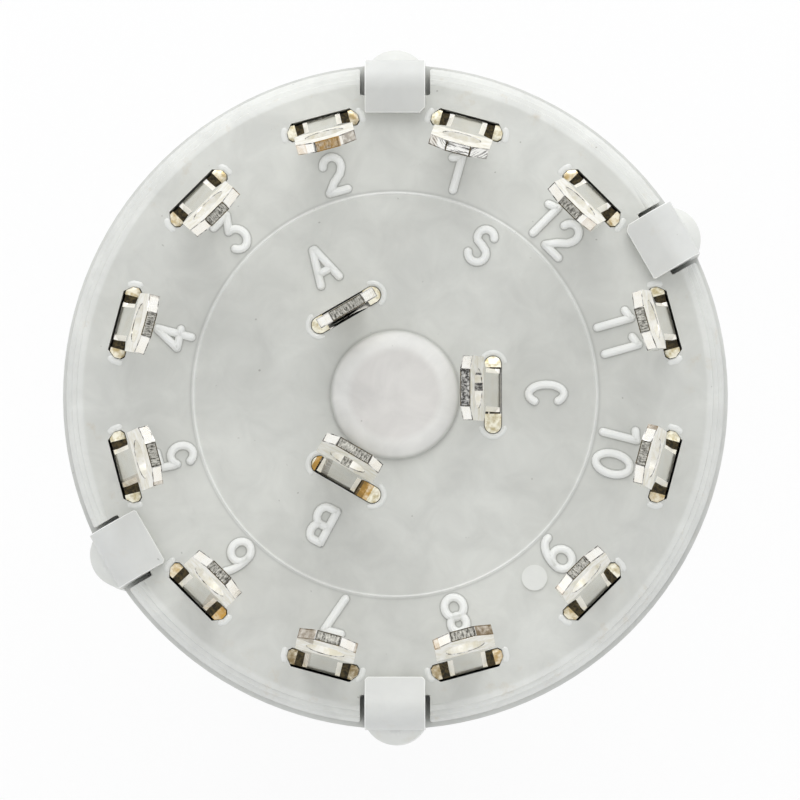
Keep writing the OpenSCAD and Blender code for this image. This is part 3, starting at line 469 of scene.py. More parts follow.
def sheared_metal(tree, place, colour, grain=(13.0, 4.0), stops=(0.4, 0.48, 0.62)):
    """Cut end of the strip: no plating, torn into fine dark streaks. The grain is in streaks per mm
    along the cut and across it."""
    burr = list(bpy.context.scene.switch_colours.burr)
    along = add_node(tree, "ShaderNodeAttribute", attribute_name="tag_map").outputs["Vector"]
    streaks = add_node(tree, "ShaderNodeMapping", {"Scale": (*grain, 1.0)}, {"Vector": along})
    pit = add_node(
        tree, "ShaderNodeTexNoise", {"Scale": 1.0, "Detail": 4.0, "Roughness": 0.8}, {"Vector": streaks})
    tones = (burr, [(a + b) / 2.4 for a, b in zip(burr, colour)], list(colour))
    tone = ramp(add_node(tree, "ShaderNodeValToRGB", links={"Fac": pit}), *zip(stops, tones))
    stained = tarnished(tree, place, tone)
    bump = add_node(tree, "ShaderNodeBump", {"Strength": 0.6, "Distance": 0.02 * MM}, {"Height": pit})
    return add_node(
        tree, "ShaderNodeBsdfPrincipled", {"Metallic": 0.5, "Roughness": 0.5},
        {"Base Color": stained, "Normal": bump})


def drawn_steel(tree, place, colour, roughness):
    """Hardened balls and drawn spring wire: bright steel with a faint oil film."""
    film = add_node(tree, "ShaderNodeTexNoise", {"Scale": 1 / FILM_W, "Detail": 2.0}, {"Vector": place})
    rough = add_node(
        tree, "ShaderNodeMapRange", {"To Min": roughness - 0.05, "To Max": roughness + 0.1},
        {"Value": film})
    return add_node(
        tree, "ShaderNodeBsdfPrincipled", {"Base Color": (*colour, 1), "Metallic": 1.0},
        {"Roughness": rough})


def blend(first, second, share):
    """A colour with the given share of the second in the first."""
    return [(1 - share) * a + share * b for a, b in zip(first, second)]


def even_tone(colour):
    """The rings of a moulding that has the same tone at every radius."""
    return (0, colour), (RING_SPAN, colour)


def finish_of(kind):
    """The named finish, made once."""
    if kind in bpy.data.materials:
        return bpy.data.materials[kind]
    colours = bpy.context.scene.switch_colours
    grey, pale, boss = colours.base_plastic, colours.highlight_plastic, colours.boss_plastic
    housing, silver, steel = colours.housing_plastic, colours.silver, colours.steel
    # Paler tones painted as highlights: on the slot lips, on the rims of base and drum, which the ejector
    # mark also takes, and on the boss's rounded shoulder
    lip, rim, bevel = blend(grey, pale, 0.5), blend(grey, pale, 0.4), blend(boss, pale, 0.5)
    # A darker grey painted as shade: at the boss's foot, on the outer side of the raised circle and round
    # the raised strokes
    foot = [0.8 * a for a in grey]
    # The raised circle gets a painted highlight on its top and painted shade on its outer side
    base_rings = (
        (0, boss), (BOSS_TOP, boss), (BOSS_SHOULDER[0], bevel), (BOSS_SHOULDER[1], bevel),
        (BOSS_FOOT[0], foot), (BOSS_FOOT[1], grey), (CIRCLE_R - CIRCLE_HALF, grey), (CIRCLE_R, pale),
        (CIRCLE_R + CIRCLE_HALF, foot), (CIRCLE_R + 2 * CIRCLE_HALF, grey), (BASE_RIM[0], grey),
        (BASE_RIM[1], rim))
    # The drum's rim gets the painted highlight
    housing_rings = ((0, housing), (DRUM_RIM[0], housing), (DRUM_RIM[1], rim))
    # What makes each finish, and its settings
    make, *settings = {
        # The base gets the fans of painted sheen in full
        "moulded_base": (moulded_plastic, base_rings, 0.3, 1.0),
        "moulded_housing": (moulded_plastic, housing_rings, 0.1),
        # The raised strokes' tops get the painted highlight tone
        "moulded_stroke": (moulded_plastic, even_tone(pale), 0, 0, 0.38),
        "moulded_mark": (moulded_plastic, even_tone(rim), 0, 0, 0.38),
        # Painted highlight on the hooks' rounded edges and on the drum's rim
        "moulded_edge": (moulded_plastic, even_tone(pale), 0, 0, 0.3),
        # The lips' paler tone is a painted highlight
        "moulded_lip": (moulded_plastic, even_tone(lip), 0, 0, 0.16),
        # Painted shade along the foot of the raised strokes
        "painted_shade_line": (moulded_plastic, even_tone(foot), 0, 0, 0.6),
        "acetal_spindle": (plain_moulding, colours.spindle_plastic, 0.38, 0.15),
        "phenolic_carrier": (plain_moulding, colours.carrier_plastic, 0.5, 0.1),
        "nylon_ring": (plain_moulding, colours.ring_plastic, 0.45, 0.12),
        "silver_plate": (plated_metal, silver, 0.12, (0.0, 0.15)),
        # The coined strips: near-white and nearly matt, a painted highlight
        "rolled_edge": (plated_metal, colours.coined_highlight, 0.4, (0.0, 0.1), YELLOWED, 0.3, 0.15),
        "staked_brass": (plated_metal, colours.staked_brass, 0.3, (0.0, 0.85), "#B5A574", 0.25, 0.6, 0.8),
        # The head's face and the eyelet's wall: a paler, nearly matt plate, a painted reflection of the
        # bright room
        "pale_plate": (plated_metal, silver, 0.3, (0.2, 0.9), "#DFD9C3", 0.4, 0.2),
        "dark_burr": (plated_metal, colours.burr, 0.4, (0.0, 0.35), "#9A875C", 0.15),
        # Dark lines round the eyelets and the tip's corners: partly burr, and on the eyelet partly a painted
        # dark reflection
        "burr_and_dark_reflection": (plated_metal, silver, 0.3, (0.25, 1.0), "#2E2A24", 0.35),
        "black_flux": (plated_metal, colours.flux, 0.3, (-0.9, 0.7), "#E9E7E0", 0.12, 0.0),
        "sheared_brass": (sheared_metal, colours.sheared_brass),
        "smeared_end": (sheared_metal, silver, (1.1, 9.0), (0.4, 0.45, 0.5)),
        "ball_steel": (drawn_steel, steel, 0.12),
        "spring_wire": (drawn_steel, steel, 0.25),
    }[kind]
    material, tree = new_material(kind)
    place = add_node(tree, "ShaderNodeTexCoord").outputs["Object"]
    add_node(tree, "ShaderNodeOutputMaterial", links={"Surface": make(tree, place, *settings)})
    return material


def node_surface(node):
    """A bmesh of the node's surface, welded, with each flat face whole."""
    bm = bmesh.new()
    bm.from_mesh(frame["nodes"][node].data)
    bmesh.ops.remove_doubles(bm, verts=bm.verts, dist=WELD)
    bmesh.ops.dissolve_limit(bm, angle_limit=FLAT, verts=bm.verts, edges=bm.edges)
    bmesh.ops.recalc_face_normals(bm, faces=bm.faces)
    bm.normal_update()
    return bm


def sharp_edges(bm, wanted):
    """Sharp edges whose middle is wanted."""
    return [
        e for e in bm.edges
        if len(e.link_faces) == 2 and e.calc_face_angle(0) > SHARP
        and wanted((e.verts[0].co + e.verts[1].co) / 2)
    ]


def soften(bm, edges, width, segments):
    """Rounds the edges, and gives the new faces."""
    made = bmesh.ops.bevel(
        bm, geom=edges, offset=width, offset_type="OFFSET", affect="EDGES", segments=segments,
        profile=0.5, material=-1, clamp_overlap=True, loop_slide=True)
    bm.normal_update()
    return made["faces"]


def score(bm, faces, place, normal):
    """Cuts the faces along a plane and keeps both sides."""
    near = faces + list({e for f in faces for e in f.edges}) + list({v for f in faces for v in f.verts})
    bmesh.ops.bisect_plane(bm, geom=near, dist=WELD / 10, plane_co=place, plane_no=normal)


def on_ring(edge, mesh, least):
    """Whether an edge runs level round the axis, farther out than the least radius."""
    a, b = (mesh.vertices[i].co for i in edge.vertices)
    far_a, far_b = math.hypot(a.x, a.y), math.hypot(b.x, b.y)
    return min(far_a, far_b) > least and abs(far_a - far_b) < WELD and abs(a.z - b.z) < WELD


def new_piece(name, bm, finishes, body, replaced=None, crisp_beyond=None):
    """Turns a bmesh in the frame's own place into a piece that rides on a body. Level rings beyond
    the given radius stay crisp."""
    mesh = bpy.data.meshes.new(name)
    bm.to_mesh(mesh)
    bm.free()
    for kind in finishes:
        mesh.materials.append(finish_of(kind))
    mesh.shade_smooth()
    mesh.set_sharp_from_angle(angle=SHARP)
    if crisp_beyond:
        for edge in mesh.edges:
            if on_ring(edge, mesh, crisp_beyond):
                edge.use_edge_sharp = True
    piece = bpy.data.objects.new(name, mesh)
    bpy.context.scene.collection.objects.link(piece)
    even = piece.modifiers.new("even_shading", "WEIGHTED_NORMAL")
    even.mode = "FACE_AREA"
    even.keep_sharp = True
    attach(piece, body)
    if replaced:
        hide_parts(replaced)
    return piece


def turned(angle):
    """From a place drawn with its radius along +Y to the given direction."""
    return Matrix.Rotation(math.radians(angle - 90), 4, "Z")


def arc(cx, cy, rx, ry, start, end, count=12):
    """Points along an ellipse, angles anticlockwise from +X in degrees."""
    angles = [math.radians(start + (end - start) * i / count) for i in range(count + 1)]
    return [(cx + rx * math.cos(a), cy + ry * math.sin(a)) for a in angles]


def line(*points):
    """An open stroke through the points."""
    return list(points), False


def ring(cx, cy, rx, ry):
    """A stroke round an ellipse, which closes on itself."""
    return arc(cx, cy, rx, ry, 0, 345, 23), True


def strokes(character):
    """The strokes of a character in a box from -1 to 1."""
    return {
        "0": [ring(0, 0, 1.08, 1)],
        "1": [line((0, 1), (0, -1)), line((0, 0.97), (-0.95, 0.78))],
        "2": [line(*arc(0, 0.45, 0.95, 0.55, 170, -30), (0.62, -0.05), (-0.2, -0.45), (-0.95, -1)),
              line((-0.95, -1), (1, -1))],
        "3": [line((-0.9, 1), (0.95, 1)), line((0.95, 1), (-0.1, 0.25)),
              line(*arc(-0.02, -0.38, 1.0, 0.62, 95, -150, 16))],
        "4": [line((0.4, 1), (-1, -0.35)), line((-1, -0.35), (1, -0.3)), line((0.48, 1), (0.48, -1))],
        "5": [line((0.9, 1), (-0.75, 1)), line((-0.75, 1), (-0.85, 0.2)),
              line(*arc(-0.05, -0.35, 1.0, 0.65, 140, -145, 16))],
        "6": [ring(0, -0.4, 1, 0.6), line(*arc(0.45, -0.4, 1.45, 1.6, 180, 120, 8))],
        "7": [line((-0.95, 1), (0.87, 1)), line((0.87, 1), (0.42, 0.3), (0, -0.35), (-0.44, -1))],
        "8": [ring(0, -0.42, 1, 0.58), ring(0, 0.54, 0.82, 0.46)],
        "9": [ring(0, 0.4, 1, 0.6), line(*arc(-0.45, 0.4, 1.45, 1.4, 0, -94, 10))],
        "A": [line((-1.08, -1), (-0.1, 1)), line((1.08, -1), (0.1, 1)), line((-0.1, 1), (0.1, 1)),
              line((-0.7, -0.35), (0.7, -0.35))],
        "B": [line((-0.8, -1), (-0.8, 1)),
              line((-0.8, 1), (0.1, 1), *arc(0.1, 0.53, 0.62, 0.47, 90, -90, 8), (-0.8, 0.06)),
              line((0.1, 0.06), *arc(0.12, -0.47, 0.78, 0.53, 90, -90, 8), (-0.8, -1))],
        "C": [line(*arc(0.1, 0, 1, 1, 42, 318, 20))],
        "S": [line(*arc(0, 0.52, 0.88, 0.48, 25, 225), (0, 0.05), *arc(0, -0.5, 0.95, 0.5, 50, -160))],
    }[character]


def stroke_spline(curve, points, closed):
    """Adds a stroke to a curve, with round ends."""
    # How far past its end a stroke narrows, and how wide it is there, as shares of its radius
    ends = ((1.0, 0.08), (0.87, 0.5), (0.5, 0.87))
    radius = curve.bevel_depth
    path = [(Vector((*p, 0)), 1.0) for p in points]
    if not closed:
        head = (path[0][0] - path[1][0]).normalized() * radius
        tail = (path[-1][0] - path[-2][0]).normalized() * radius
        path = (
            [(path[0][0] + head * far, size) for far, size in ends] + path
            + [(path[-1][0] + tail * far, size) for far, size in reversed(ends)]
        )
    spline = curve.splines.new("POLY")
    spline.points.add(len(path) - 1)
    for point, (co, size) in zip(spline.points, path):
        point.co = (*co, 1)
        point.radius = size
    spline.use_cyclic_u = closed


def stroke_bmesh(bm, paths, width, height, place):
    """Round-topped bars along flat paths, laid on the plane z = 0 of the place."""
    curve = bpy.data.curves.new("strokes", "CURVE")
    curve.dimensions = "3D"
    curve.bevel_depth = width / 2
    curve.bevel_resolution = 3
    curve.use_fill_caps = True
    for points, closed in paths:
        stroke_spline(curve, points, closed)
    drawn = bpy.data.objects.new("strokes", curve)
    bpy.context.scene.collection.objects.link(drawn)
    bpy.context.view_layer.update()
    mesh = bpy.data.meshes.new_from_object(drawn)
    flatten = Matrix.Diagonal((1, 1, height / (width / 2), 1))
    mesh.transform(place @ flatten)
    bm.from_mesh(mesh)
    bpy.data.meshes.remove(mesh)
    bpy.data.objects.remove(drawn)
    bpy.data.curves.remove(curve)


class SWITCH_OT_base(bpy.types.Operator):
    """Rounds the base's slots and notches"""

    bl_idname = "switch.base"
    bl_label = "Base"

    def execute(self, context):
        sizes = context.scene.switch_sizes
        bm = node_surface("base")
        slots = sharp_edges(
            bm, lambda p: abs(p.z - BASE_Z) < WELD and SLOTS_FROM < math.hypot(p.x, p.y) < SLOTS_TO)
        soften(bm, slots, sizes.slot_edge, 3)
        corners = sharp_edges(bm, lambda p: math.hypot(p.x, p.y) > NOTCHES_FROM and p.z > NOTCH_FOOT)
        upright = [e for e in corners if abs(e.verts[0].co.z - e.verts[1].co.z) > NOTCH_UPRIGHT]
        soften(bm, upright, sizes.notch_edge, 4)
        mark = Matrix.Rotation(MARK_ANGLE, 3, "Z") @ Vector((MARK_R, 0, BASE_Z))
        for face in bm.faces:
            place = face.calc_center_median()
            if place.z > BASE_Z + WELD and (place - mark).length < MARK_REACH:
                face.material_index = 1
        new_piece(
            "base_moulding", bm, ["moulded_base", "moulded_mark"], "body", "base", CRISP_FROM)
        return {"FINISHED"}


class SWITCH_OT_characters(bpy.types.Operator):
    """Raises the way numbers and pole letters on the base"""

    bl_idname = "switch.characters"
    bl_label = "Characters"

    def execute(self, context):
        sizes = context.scene.switch_sizes
        bm, foot = bmesh.new(), bmesh.new()
        half_w, half_h = sizes.character_w / 2, sizes.character_h / 2
        for character, direction, distance, shift in CHARACTERS:
            paths = [
                ([(x * half_w, y * half_h) for x, y in points], closed)
                for points, closed in strokes(character)
            ]
            place = turned(direction) @ Matrix.Translation((shift * MM, distance * MM, BASE_Z))
            stroke_bmesh(bm, paths, sizes.stroke_w, sizes.stroke_h, place)
            # A thin darker band round each stroke: painted shade along its foot
            stroke_bmesh(foot, paths, sizes.stroke_w + 2 * sizes.shade_line_w, SHADE_LINE_H, place)
        new_piece("raised_characters", bm, ["moulded_stroke"], "body")
        new_piece("character_shade_lines", foot, ["painted_shade_line"], "body")
        return {"FINISHED"}


class SWITCH_OT_lips(bpy.types.Operator):
    """Adds the small raised lips that staking leaves at the slots' ends"""

    bl_idname = "switch.lips"
    bl_label = "Slot lips"

    def execute(self, context):
        sizes = context.scene.switch_sizes
        bm = bmesh.new()
        # A bar of which the lower part is sunk in the base, so that its sides rise gently
        sunk = 1.2 * sizes.lip_h
        place = Matrix.Translation((0, 0, BASE_Z - sunk))
        half, out_r, in_r = WAY_SLOT
        end = half + LIP_GAP
        # From the outer corner of a way slot inwards along its end
        way = [(half + LIP_GAP * 0.4, out_r - 0.2 * MM), (end, out_r - 0.34 * MM), (end, in_r + 0.16 * MM)]
        half, end_r, mid = POLE_SLOT
        pole = arc(half, mid, end_r + LIP_GAP, end_r + LIP_GAP, 75, -75, 10)
        for angles, lip, width in (
                (WAY_ANGLES, way, sizes.lip_w), (POLE_ANGLES, pole, sizes.lip_w * 0.8)):
            paths = [line(*((side * x, y) for x, y in lip)) for side in (-1, 1)]
            for angle in angles.values():
                stroke_bmesh(bm, paths, width, sizes.lip_h + sunk, turned(angle) @ place)
        new_piece("slot_lips", bm, ["moulded_lip"], "body")
        return {"FINISHED"}


class SWITCH_OT_housing(bpy.types.Operator):
    """Rounds the hooks, lugs and drum and cuts the bush back to its thread's root"""

    bl_idname = "switch.housing"
    bl_label = "Housing"

    def execute(self, context):
        sizes = context.scene.switch_sizes
        bm = node_surface("housing")
        hooks = sharp_edges(bm, lambda p: p.z > BASE_Z - 0.2 * MM and math.hypot(p.x, p.y) > HOOKS_FROM)
        # The hooks' rounded edges get the paler finish, a painted highlight
        for face in soften(bm, hooks, sizes.hook_edge, 3):
            face.material_index = 1
        # The outer edges of the drum and its lugs, and the edges on its front outside the bush
        outside = sharp_edges(
            bm, lambda p: p.z < BASE_LOW.z + 1.1 * MM and math.hypot(p.x, p.y) > DRUM_R - 0.6 * MM
            or p.z < 0 and math.hypot(p.x, p.y) > BUSH_R + MM)
        soften(bm, outside, sizes.drum_edge, 3)
        # Faces on the drum's rim get the paler finish, a painted highlight
        for face in bm.faces:
            place = face.calc_center_median()
            if abs(place.z - RIM_Z) < 0.1 * MM and math.hypot(*place.xy) > DRUM_R - 0.3 * MM:
                face.material_index = 1
        self.cut_thread_root(bm, sizes)
        new_piece(
            "housing_moulding", bm, ["moulded_housing", "moulded_edge"], "body", "housing")
        new_piece("bush_thread", self.thread(sizes), ["moulded_housing"], "body")
        return {"FINISHED"}

    def cut_thread_root(self, bm, sizes):
        """Turns the bush down to the thread's root between its chamfer and its collar."""
        root_r = BUSH_R - sizes.thread_depth
        ends = (-BUSH_LEN + BUSH_CHAMFER, -RUN_OUT)
        for level in (-RUN_OUT, -RUN_OUT + 0.2 * MM):
            bush = [f for f in bm.faces if math.hypot(*f.calc_center_median().xy) < BUSH_R + 0.1 * MM]
            score(bm, bush, (0, 0, level), (0, 0, 1))
        for vert in bm.verts:
            far = math.hypot(*vert.co.xy)
            if abs(far - BUSH_R) < WELD and min(abs(vert.co.z - end) for end in ends) < WELD:
                vert.co.xy *= root_r / far
        bm.normal_update()

    def thread(self, sizes):
        """A trapezoid swept along the bush, cut back by the end chamfer and run out at the collar."""
        pitch, root_r = sizes.thread_pitch, BUSH_R - sizes.thread_depth
        low, high = -BUSH_LEN + pitch * 0.6, -RUN_OUT - pitch * 0.35
        # Half the widths of the trapezoid at its foot, which is sunk a little in the bush, and at its crest
        base, crest = 0.43 * pitch, 0.08 * pitch
        sunk_r = root_r - 0.02 * MM
        bm = bmesh.new()
        outline = [
            bm.verts.new((r, 0, low + z))
            for r, z in ((sunk_r, -base), (BUSH_R, -crest), (BUSH_R, crest), (sunk_r, base))]
        edges = [bm.edges.new((outline[k - 1], outline[k])) for k in range(4)]
        turns = (high - low) / pitch
        steps = round(turns * THREAD_STEPS)
        bmesh.ops.spin(
            bm, geom=outline + edges, axis=(0, 0, 1), cent=(0, 0, 0), dvec=(0, 0, pitch / THREAD_STEPS),
            angle=2 * math.pi * steps / THREAD_STEPS, steps=steps, use_duplicate=False)
        bmesh.ops.holes_fill(bm, edges=[e for e in bm.edges if e.is_boundary], sides=4)
        for vert in bm.verts:
            far = math.hypot(*vert.co.xy)
            cone = BUSH_R - BUSH_CHAMFER + vert.co.z + BUSH_LEN
            fade = root_r + (high + base - vert.co.z) * 1.2
            if far > root_r:
                vert.co.xy *= max(sunk_r, min(far, cone, fade)) / far
        bmesh.ops.recalc_face_normals(bm, faces=bm.faces)
        return bm


def blade_frame(node, angle):
    """Middle of the tag's eyelet and the blade's width, face and upright axes, in the tag's own place."""
    mount = MOUNTS["eyelet_" + node.rsplit("_", 1)[1]]
    back = turned(angle).inverted()
    centre = back @ Vector(mount["pos_m"])
    face = (back.to_3x3() @ Vector(mount["axis"])).normalized()
    if face.y < 0:
        face.negate()
    lean = math.atan2(math.hypot(face.x, face.z), face.y)
    side = math.atan2(face.x, face.z) if lean > math.radians(1) else 0.0
    turn = Matrix.Rotation(side, 3, "Y") @ Matrix.Rotation(lean, 3, "X")
    return centre, turn


def neck_middle(centre, turn):
    """Where along its slot the tag's neck leaves the base."""
    up = turn @ Vector((0, 0, 1))
    return centre.x - up.x * (centre.z - BASE_Z) / up.z


def tag_zones(bm, centre, turn, half_neck, outline, smeared):
    """Gives each face of a tag its finish, and draws the burrs round its cut end and corners."""
    back, up = turn.transposed(), turn @ Vector((0, 0, 1))
    blade = [f for f in bm.faces if abs((back @ f.normal).y) > 0.9 and f.calc_center_median().z > BASE_Z]
    score(bm, blade, centre - up * HEAD_REACH, up)
    neck_x = neck_middle(centre, turn)
    for face in bm.faces:
        place = face.calc_center_median()
        spot = (back @ (place - centre)) / MM
        normal = back @ face.normal
        far = math.hypot(spot.x, spot.z)
        beside = abs(place.x - neck_x) > (half_neck + 0.06) * MM
        # A coined edge slopes at about 45 degrees
        coined = abs(abs(normal.x) - 0.7) < 0.12 and normal.y > 0.5
        face.material_index = PLATE
        # Coined strips get a near-white finish, a painted highlight
        if coined and spot.z < COINED_TO and abs(spot.x) > half_neck - 0.25:
            face.material_index = ROLLED
        # The head's face gets the paler plate, a painted reflection
        elif spot.z > -HEAD_REACH / MM and normal.y > 0.9:
            face.material_index = PALE
        elif spot.z > CUT_END_FROM and normal.z > 0.96:
            face.material_index = CUT_END
        elif beside and STAKED_FROM < place.z < STAKED_TO and face.normal.z > 0.2:
            face.material_index = STAKED
        # The level step down in a slot is painted dark, with the burrs' finish
        elif abs(place.z - BASE_Z + SLOT_STEP) < 0.05 * MM and face.normal.z > 0.9:
            face.material_index = DARK_BURR
        # The lower half of the ring round the eyelet: partly burr, partly painted dark reflection
        elif spot.z < 0 and spot.y > 0.15 and EYELET_DARK_RING[0] < far < EYELET_DARK_RING[1] and normal.y < 0.95:
            face.material_index = BURR_AND_REFLECTION
        # The eyelet's inner wall gets the paler plate, painted bright as if lit from above
        elif spot.z < 0 and far < EYELET_WALL and abs(normal.y) < 0.5:
            face.material_index = PALE
    cut_ends = [f for f in bm.faces if f.material_index == CUT_END]
    inset = bmesh.ops.inset_region(bm, faces=cut_ends, thickness=outline, use_even_offset=True)
    for face in inset["faces"]:
        face.material_index = DARK_BURR
    corners = []
    for face in bm.faces:
        spot = (back @ (face.calc_center_median() - centre)) / MM
        normal = back @ face.normal
        sloping = abs(normal.y) < 0.1 and 0.3 < normal.z < 0.96
        if sloping and spot.z > CORNERS_FROM and face.calc_area() > CORNER_AREA:
            corners.append(face)
    inset = bmesh.ops.inset_individual(bm, faces=corners, thickness=outline, use_even_offset=True)
    for face in inset["faces"]:
        face.material_index = BURR_AND_REFLECTION
    if smeared:
        for face in corners:
            face.material_index = CUT_END


def stain_tag(bm, node, centre, turn):
    """Cuts the tag's faces where its stains end and writes the stain attributes and the tag's own map."""
    back = turn.transposed()

    def zone_faces(zone):
        """The faces of a part of the tag."""
        middles = [(face, (back @ (face.calc_center_median() - centre)) / MM) for face in bm.faces]
        return [face for face, middle in middles if {
            "tip": middle.z > TIP_FROM,
            "shoulder": face.material_index == STAKED,
            "neck": NECK_FROM < middle.z < NECK_TO,
            "eyelet": face.material_index in (BURR_AND_REFLECTION, PALE) and math.hypot(*middle.xz) < EYELET_DARK_RING[1],
        }[zone]]

    stains = STAINS.get(node, ())
    for zone, start, end, *_ in stains:
        for side in (start, end):
            score(bm, zone_faces(zone), (side * MM, 0, 0), (1, 0, 0))
    order = list(frame["nodes"]).index(node)
    layers = [bm.loops.layers.float.new(kind) for kind in ("brown", "amber")]
    tag_map = bm.loops.layers.uv.new("tag_map")
    for face in bm.faces:
        for loop in face.loops:
            spot = (back @ (loop.vert.co - centre)) / MM
            loop[tag_map].uv = (spot.x + TAG_MAP_STEP * order, spot.y + spot.z)
    for zone, start, end, *amounts in stains:
        for face in zone_faces(zone):
            if start <= face.calc_center_median().x / MM <= end:
                if zone == "eyelet":
                    face.material_index = CUT_END
                for loop in face.loops:
                    for layer, amount in zip(layers, amounts):
                        loop[layer] = amount


class SWITCH_OT_tags(bpy.types.Operator):
    """Rolls, stakes, shears and tarnishes the solder tags"""

    bl_idname = "switch.tags"
    bl_label = "Solder tags"

    def execute(self, context):
        sizes = context.scene.switch_sizes
        for node, angle in {**WAY_ANGLES, **POLE_ANGLES}.items():
            bm = node_surface(node)
            bm.transform(turned(angle).inverted())
            centre, turn = blade_frame(node, angle)
            back = turn.transposed()
            edges = sharp_edges(bm, lambda p: p.z > BASE_Z - 0.7 * MM)
            round_eyelet = [
                e for e in edges if math.hypot(*(back @ (e.verts[0].co - centre)).xz) < EYELET_R + 0.02 * MM]
            others = [e for e in edges if e not in set(round_eyelet)]
            soften(bm, others, sizes.tag_edge, 2)
            soften(bm, [e for e in round_eyelet if e.is_valid], sizes.eyelet_edge, 2)
            cut_end = CUT_ENDS.get(node, "sheared_brass")
            half_neck = HALF_NECKS[node.split("_")[0]]
            tag_zones(bm, centre, turn, half_neck, sizes.outline, cut_end == "smeared_end")
            stain_tag(bm, node, centre, turn)
            bm.transform(turned(angle))
            # In the order of their numbers
            finishes = [
                "silver_plate", "rolled_edge", "staked_brass", cut_end, "dark_burr", "burr_and_dark_reflection",
                "pale_plate"]
            new_piece(node + "_tag", bm, finishes, "body", node)
        return {"FINISHED"}


class SWITCH_OT_inner_pieces(bpy.types.Operator):
    """Finishes the spindle and the pieces inside the drum"""

    bl_idname = "switch.inner_pieces"
    bl_label = "Inner pieces"

    def execute(self, context):
        sizes = context.scene.switch_sizes
        finishes = {
            "spindle": "acetal_spindle", "contact_carrier": "phenolic_carrier", "stop_ring": "nylon_ring",
            "detent_ball_1": "ball_steel", "detent_ball_2": "ball_steel", "detent_spring": "spring_wire",
        }
        for letter in "abc":
            finishes["contact_bridge_" + letter] = "silver_plate"
            self.contact_spring(letter)
        for name, kind in finishes.items():
            piece = frame["nodes"][name]
            piece.data.materials.clear()
            piece.data.materials.append(finish_of(kind))
            weld = piece.modifiers.new("weld", "WELD")
            weld.merge_threshold = WELD
            if kind in ("acetal_spindle", "phenolic_carrier", "nylon_ring"):
                edge = piece.modifiers.new("edge", "BEVEL")
                edge.width = sizes.small_edge
                edge.segments = 2
                edge.limit_method = "ANGLE"
                edge.angle_limit = SHARP
        return {"FINISHED"}

    def contact_spring(self, letter):
        """The coil of a contact spring under a bridge, as a piece that rides on the rotor."""
        node = "contact_spring_" + letter
        bm = bmesh.new()
        bm.from_mesh(frame["nodes"][node].data)
        bmesh.ops.remove_doubles(bm, verts=bm.verts, dist=WELD)
        bmesh.ops.recalc_face_normals(bm, faces=bm.faces)
        coil = new_piece(node + "_coil", bm, ["spring_wire"], "rotor", node)
        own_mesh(coil)


def soft_lamp(name, place, aim, width, power):
    """A square soft box that points at a place."""
    light = bpy.data.lights.new(name, "AREA")
    light.shape = "SQUARE"
    light.size = width
    light.energy = power
    lamp = bpy.data.objects.new(name, light)
    bpy.context.scene.collection.objects.link(lamp)
    lamp.location = place
    lamp.rotation_euler = (aim - Vector(place)).to_track_quat("-Z", "Y").to_euler()


def seen_directly(tree):
    """1 for what the camera sees, also in a mirror or through glass, and 0 for light on a matt surface."""
    path = add_node(tree, "ShaderNodeLightPath").outputs
    mirror = add_node(
        tree, "ShaderNodeMath", links={0: path["Is Glossy Ray"], 1: path["Is Transmission Ray"]},
        operation="MAXIMUM")
    return add_node(tree, "ShaderNodeMath", links={0: path["Is Camera Ray"], 1: mirror}, operation="MAXIMUM")


def pale_floor():
    """A matt round floor that the camera sees almost as white as the room."""
    bm = bmesh.new()
    bmesh.ops.create_circle(
        bm, cap_ends=True, segments=96, radius=FLOOR_R,
        matrix=Matrix.Translation((0, 0, SPINDLE_TIP - FLOOR_GAP)))
    mesh = bpy.data.meshes.new("floor")
    bm.to_mesh(mesh)
    bm.free()
    floor = bpy.data.objects.new("floor", mesh)
    bpy.context.scene.collection.objects.link(floor)
    material, tree = new_material("pale_floor")
    seen = seen_directly(tree)
    white = add_node(tree, "ShaderNodeEmission")
    matt = add_node(
        tree, "ShaderNodeBsdfPrincipled", {"Base Color": (*linear("#F4F4F3"), 1), "Roughness": 0.9})
    mixed = add_node(tree, "ShaderNodeMixShader", {"Fac": FLOOR_WHITE}, {1: matt, 2: white})
    chosen = add_node(tree, "ShaderNodeMixShader", None, {"Fac": seen, 1: matt, 2: mixed})
    add_node(tree, "ShaderNodeOutputMaterial", links={"Surface": chosen})
    mesh.materials.append(material)


def studio_room(stage):
    """White to the camera, and a soft room light that is a little weaker from above."""
    world = bpy.data.worlds.new("studio")
    bpy.context.scene.world = world
    world.use_nodes = True
    tree = world.node_tree
    tree.nodes.clear()
    seen = seen_directly(tree)
    white = add_node(tree, "ShaderNodeBackground", {"Color": (1, 1, 1, 1), "Strength": 1.0})
    way = add_node(tree, "ShaderNodeTexCoord").outputs["Generated"]
    parts = add_node(tree, "ShaderNodeSeparateXYZ", links={"Vector": way})
    height = add_node(
        tree, "ShaderNodeMapRange",
        {"From Min": ROOM_FADE[0], "From Max": ROOM_FADE[1], "To Min": stage.sky, "To Max": stage.overhead},
        {"Value": parts.outputs["Z"]}, interpolation_type="SMOOTHSTEP")
    room = add_node(tree, "ShaderNodeBackground", {"Color": (*linear("#FBFCFF"), 1)}, {"Strength": height})
    mixed = add_node(tree, "ShaderNodeMixShader", None, {"Fac": seen, 1: room, 2: white})
    add_node(tree, "ShaderNodeOutputWorld", links={"Surface": mixed})


def camera_eye(stage, aim):
    """The camera, which leans a little from the spindle axis and keeps +Y up."""
    camera = bpy.data.cameras.new("camera")
    camera.lens = stage.lens
    camera.sensor_width = 36.0
    eye = bpy.data.objects.new("camera", camera)
    bpy.context.scene.collection.objects.link(eye)
    back = Vector((
        math.sin(stage.tilt) * math.cos(stage.tilt_direction),
        math.sin(stage.tilt) * math.sin(stage.tilt_direction),
        math.cos(stage.tilt)))
    right = Vector((0, 1, 0)).cross(back).normalized()
    eye.location = aim + back * stage.camera_distance
    eye.rotation_mode = "QUATERNION"
    eye.rotation_quaternion = Matrix((right, back.cross(right), back)).transposed().to_quaternion()
    return eye


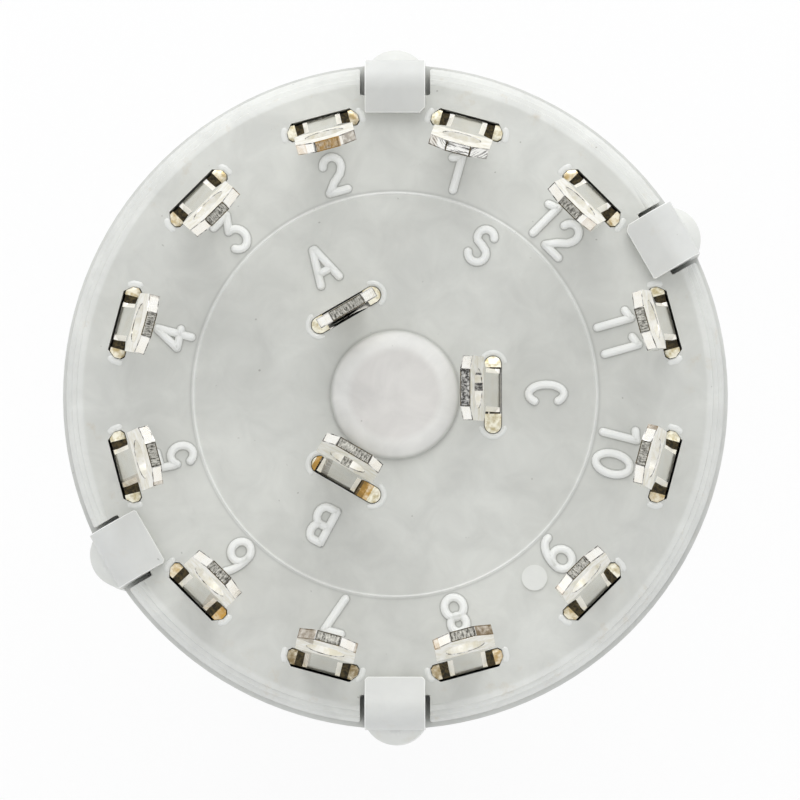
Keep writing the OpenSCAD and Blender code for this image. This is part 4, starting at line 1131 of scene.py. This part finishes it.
class SWITCH_OT_stage(bpy.types.Operator):
    """Sets the pale floor, the soft light and the camera"""

    bl_idname = "switch.stage"
    bl_label = "Stage"

    def execute(self, context):
        scene = context.scene
        stage = scene.switch_stage
        scene.view_settings.view_transform = "Standard"
        middle = Vector((0, 0, BASE_Z))
        pale_floor()
        studio_room(stage)
        soft_lamp("key_light", KEY_PLACE, middle, SOFT_BOX, stage.key_power)
        soft_lamp("fill_light", FILL_PLACE, middle, SOFT_BOX, stage.fill_power)
        scene.camera = camera_eye(stage, middle + AIM_SHIFT)
        return {"FINISHED"}


class SWITCH_PT_panel(bpy.types.Panel):
    """Lists the switch's pieces in the sidebar"""

    bl_label = "Rotary Switch"
    bl_idname = "SWITCH_PT_panel"
    bl_space_type = "VIEW_3D"
    bl_region_type = "UI"
    bl_category = "Rotary Switch"

    def draw(self, context):
        column = self.layout.column()
        for operator in OPERATORS:
            column.operator(operator.bl_idname)
        for group in (context.scene.switch_sizes, context.scene.switch_colours, context.scene.switch_stage):
            box = self.layout.box()
            for name in group.__annotations__:
                box.prop(group, name)


GROUPS = (SwitchSizes, SwitchColours, SwitchStage)
OPERATORS = (
    SWITCH_OT_base, SWITCH_OT_characters, SWITCH_OT_lips, SWITCH_OT_housing, SWITCH_OT_tags,
    SWITCH_OT_inner_pieces, SWITCH_OT_stage,
)


def register():
    for item in (*GROUPS, *OPERATORS, SWITCH_PT_panel):
        bpy.utils.register_class(item)
    bpy.types.Scene.switch_sizes = bpy.props.PointerProperty(type=SwitchSizes)
    bpy.types.Scene.switch_colours = bpy.props.PointerProperty(type=SwitchColours)
    bpy.types.Scene.switch_stage = bpy.props.PointerProperty(type=SwitchStage)


def unregister():
    del bpy.types.Scene.switch_sizes
    del bpy.types.Scene.switch_colours
    del bpy.types.Scene.switch_stage
    for item in reversed((*GROUPS, *OPERATORS, SWITCH_PT_panel)):
        bpy.utils.unregister_class(item)


def main():
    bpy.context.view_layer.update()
    register()
    bpy.ops.switch.base()
    bpy.ops.switch.characters()
    bpy.ops.switch.lips()
    bpy.ops.switch.housing()
    bpy.ops.switch.tags()
    bpy.ops.switch.inner_pieces()
    bpy.ops.switch.stage()


if __name__ == "__main__":
    main()
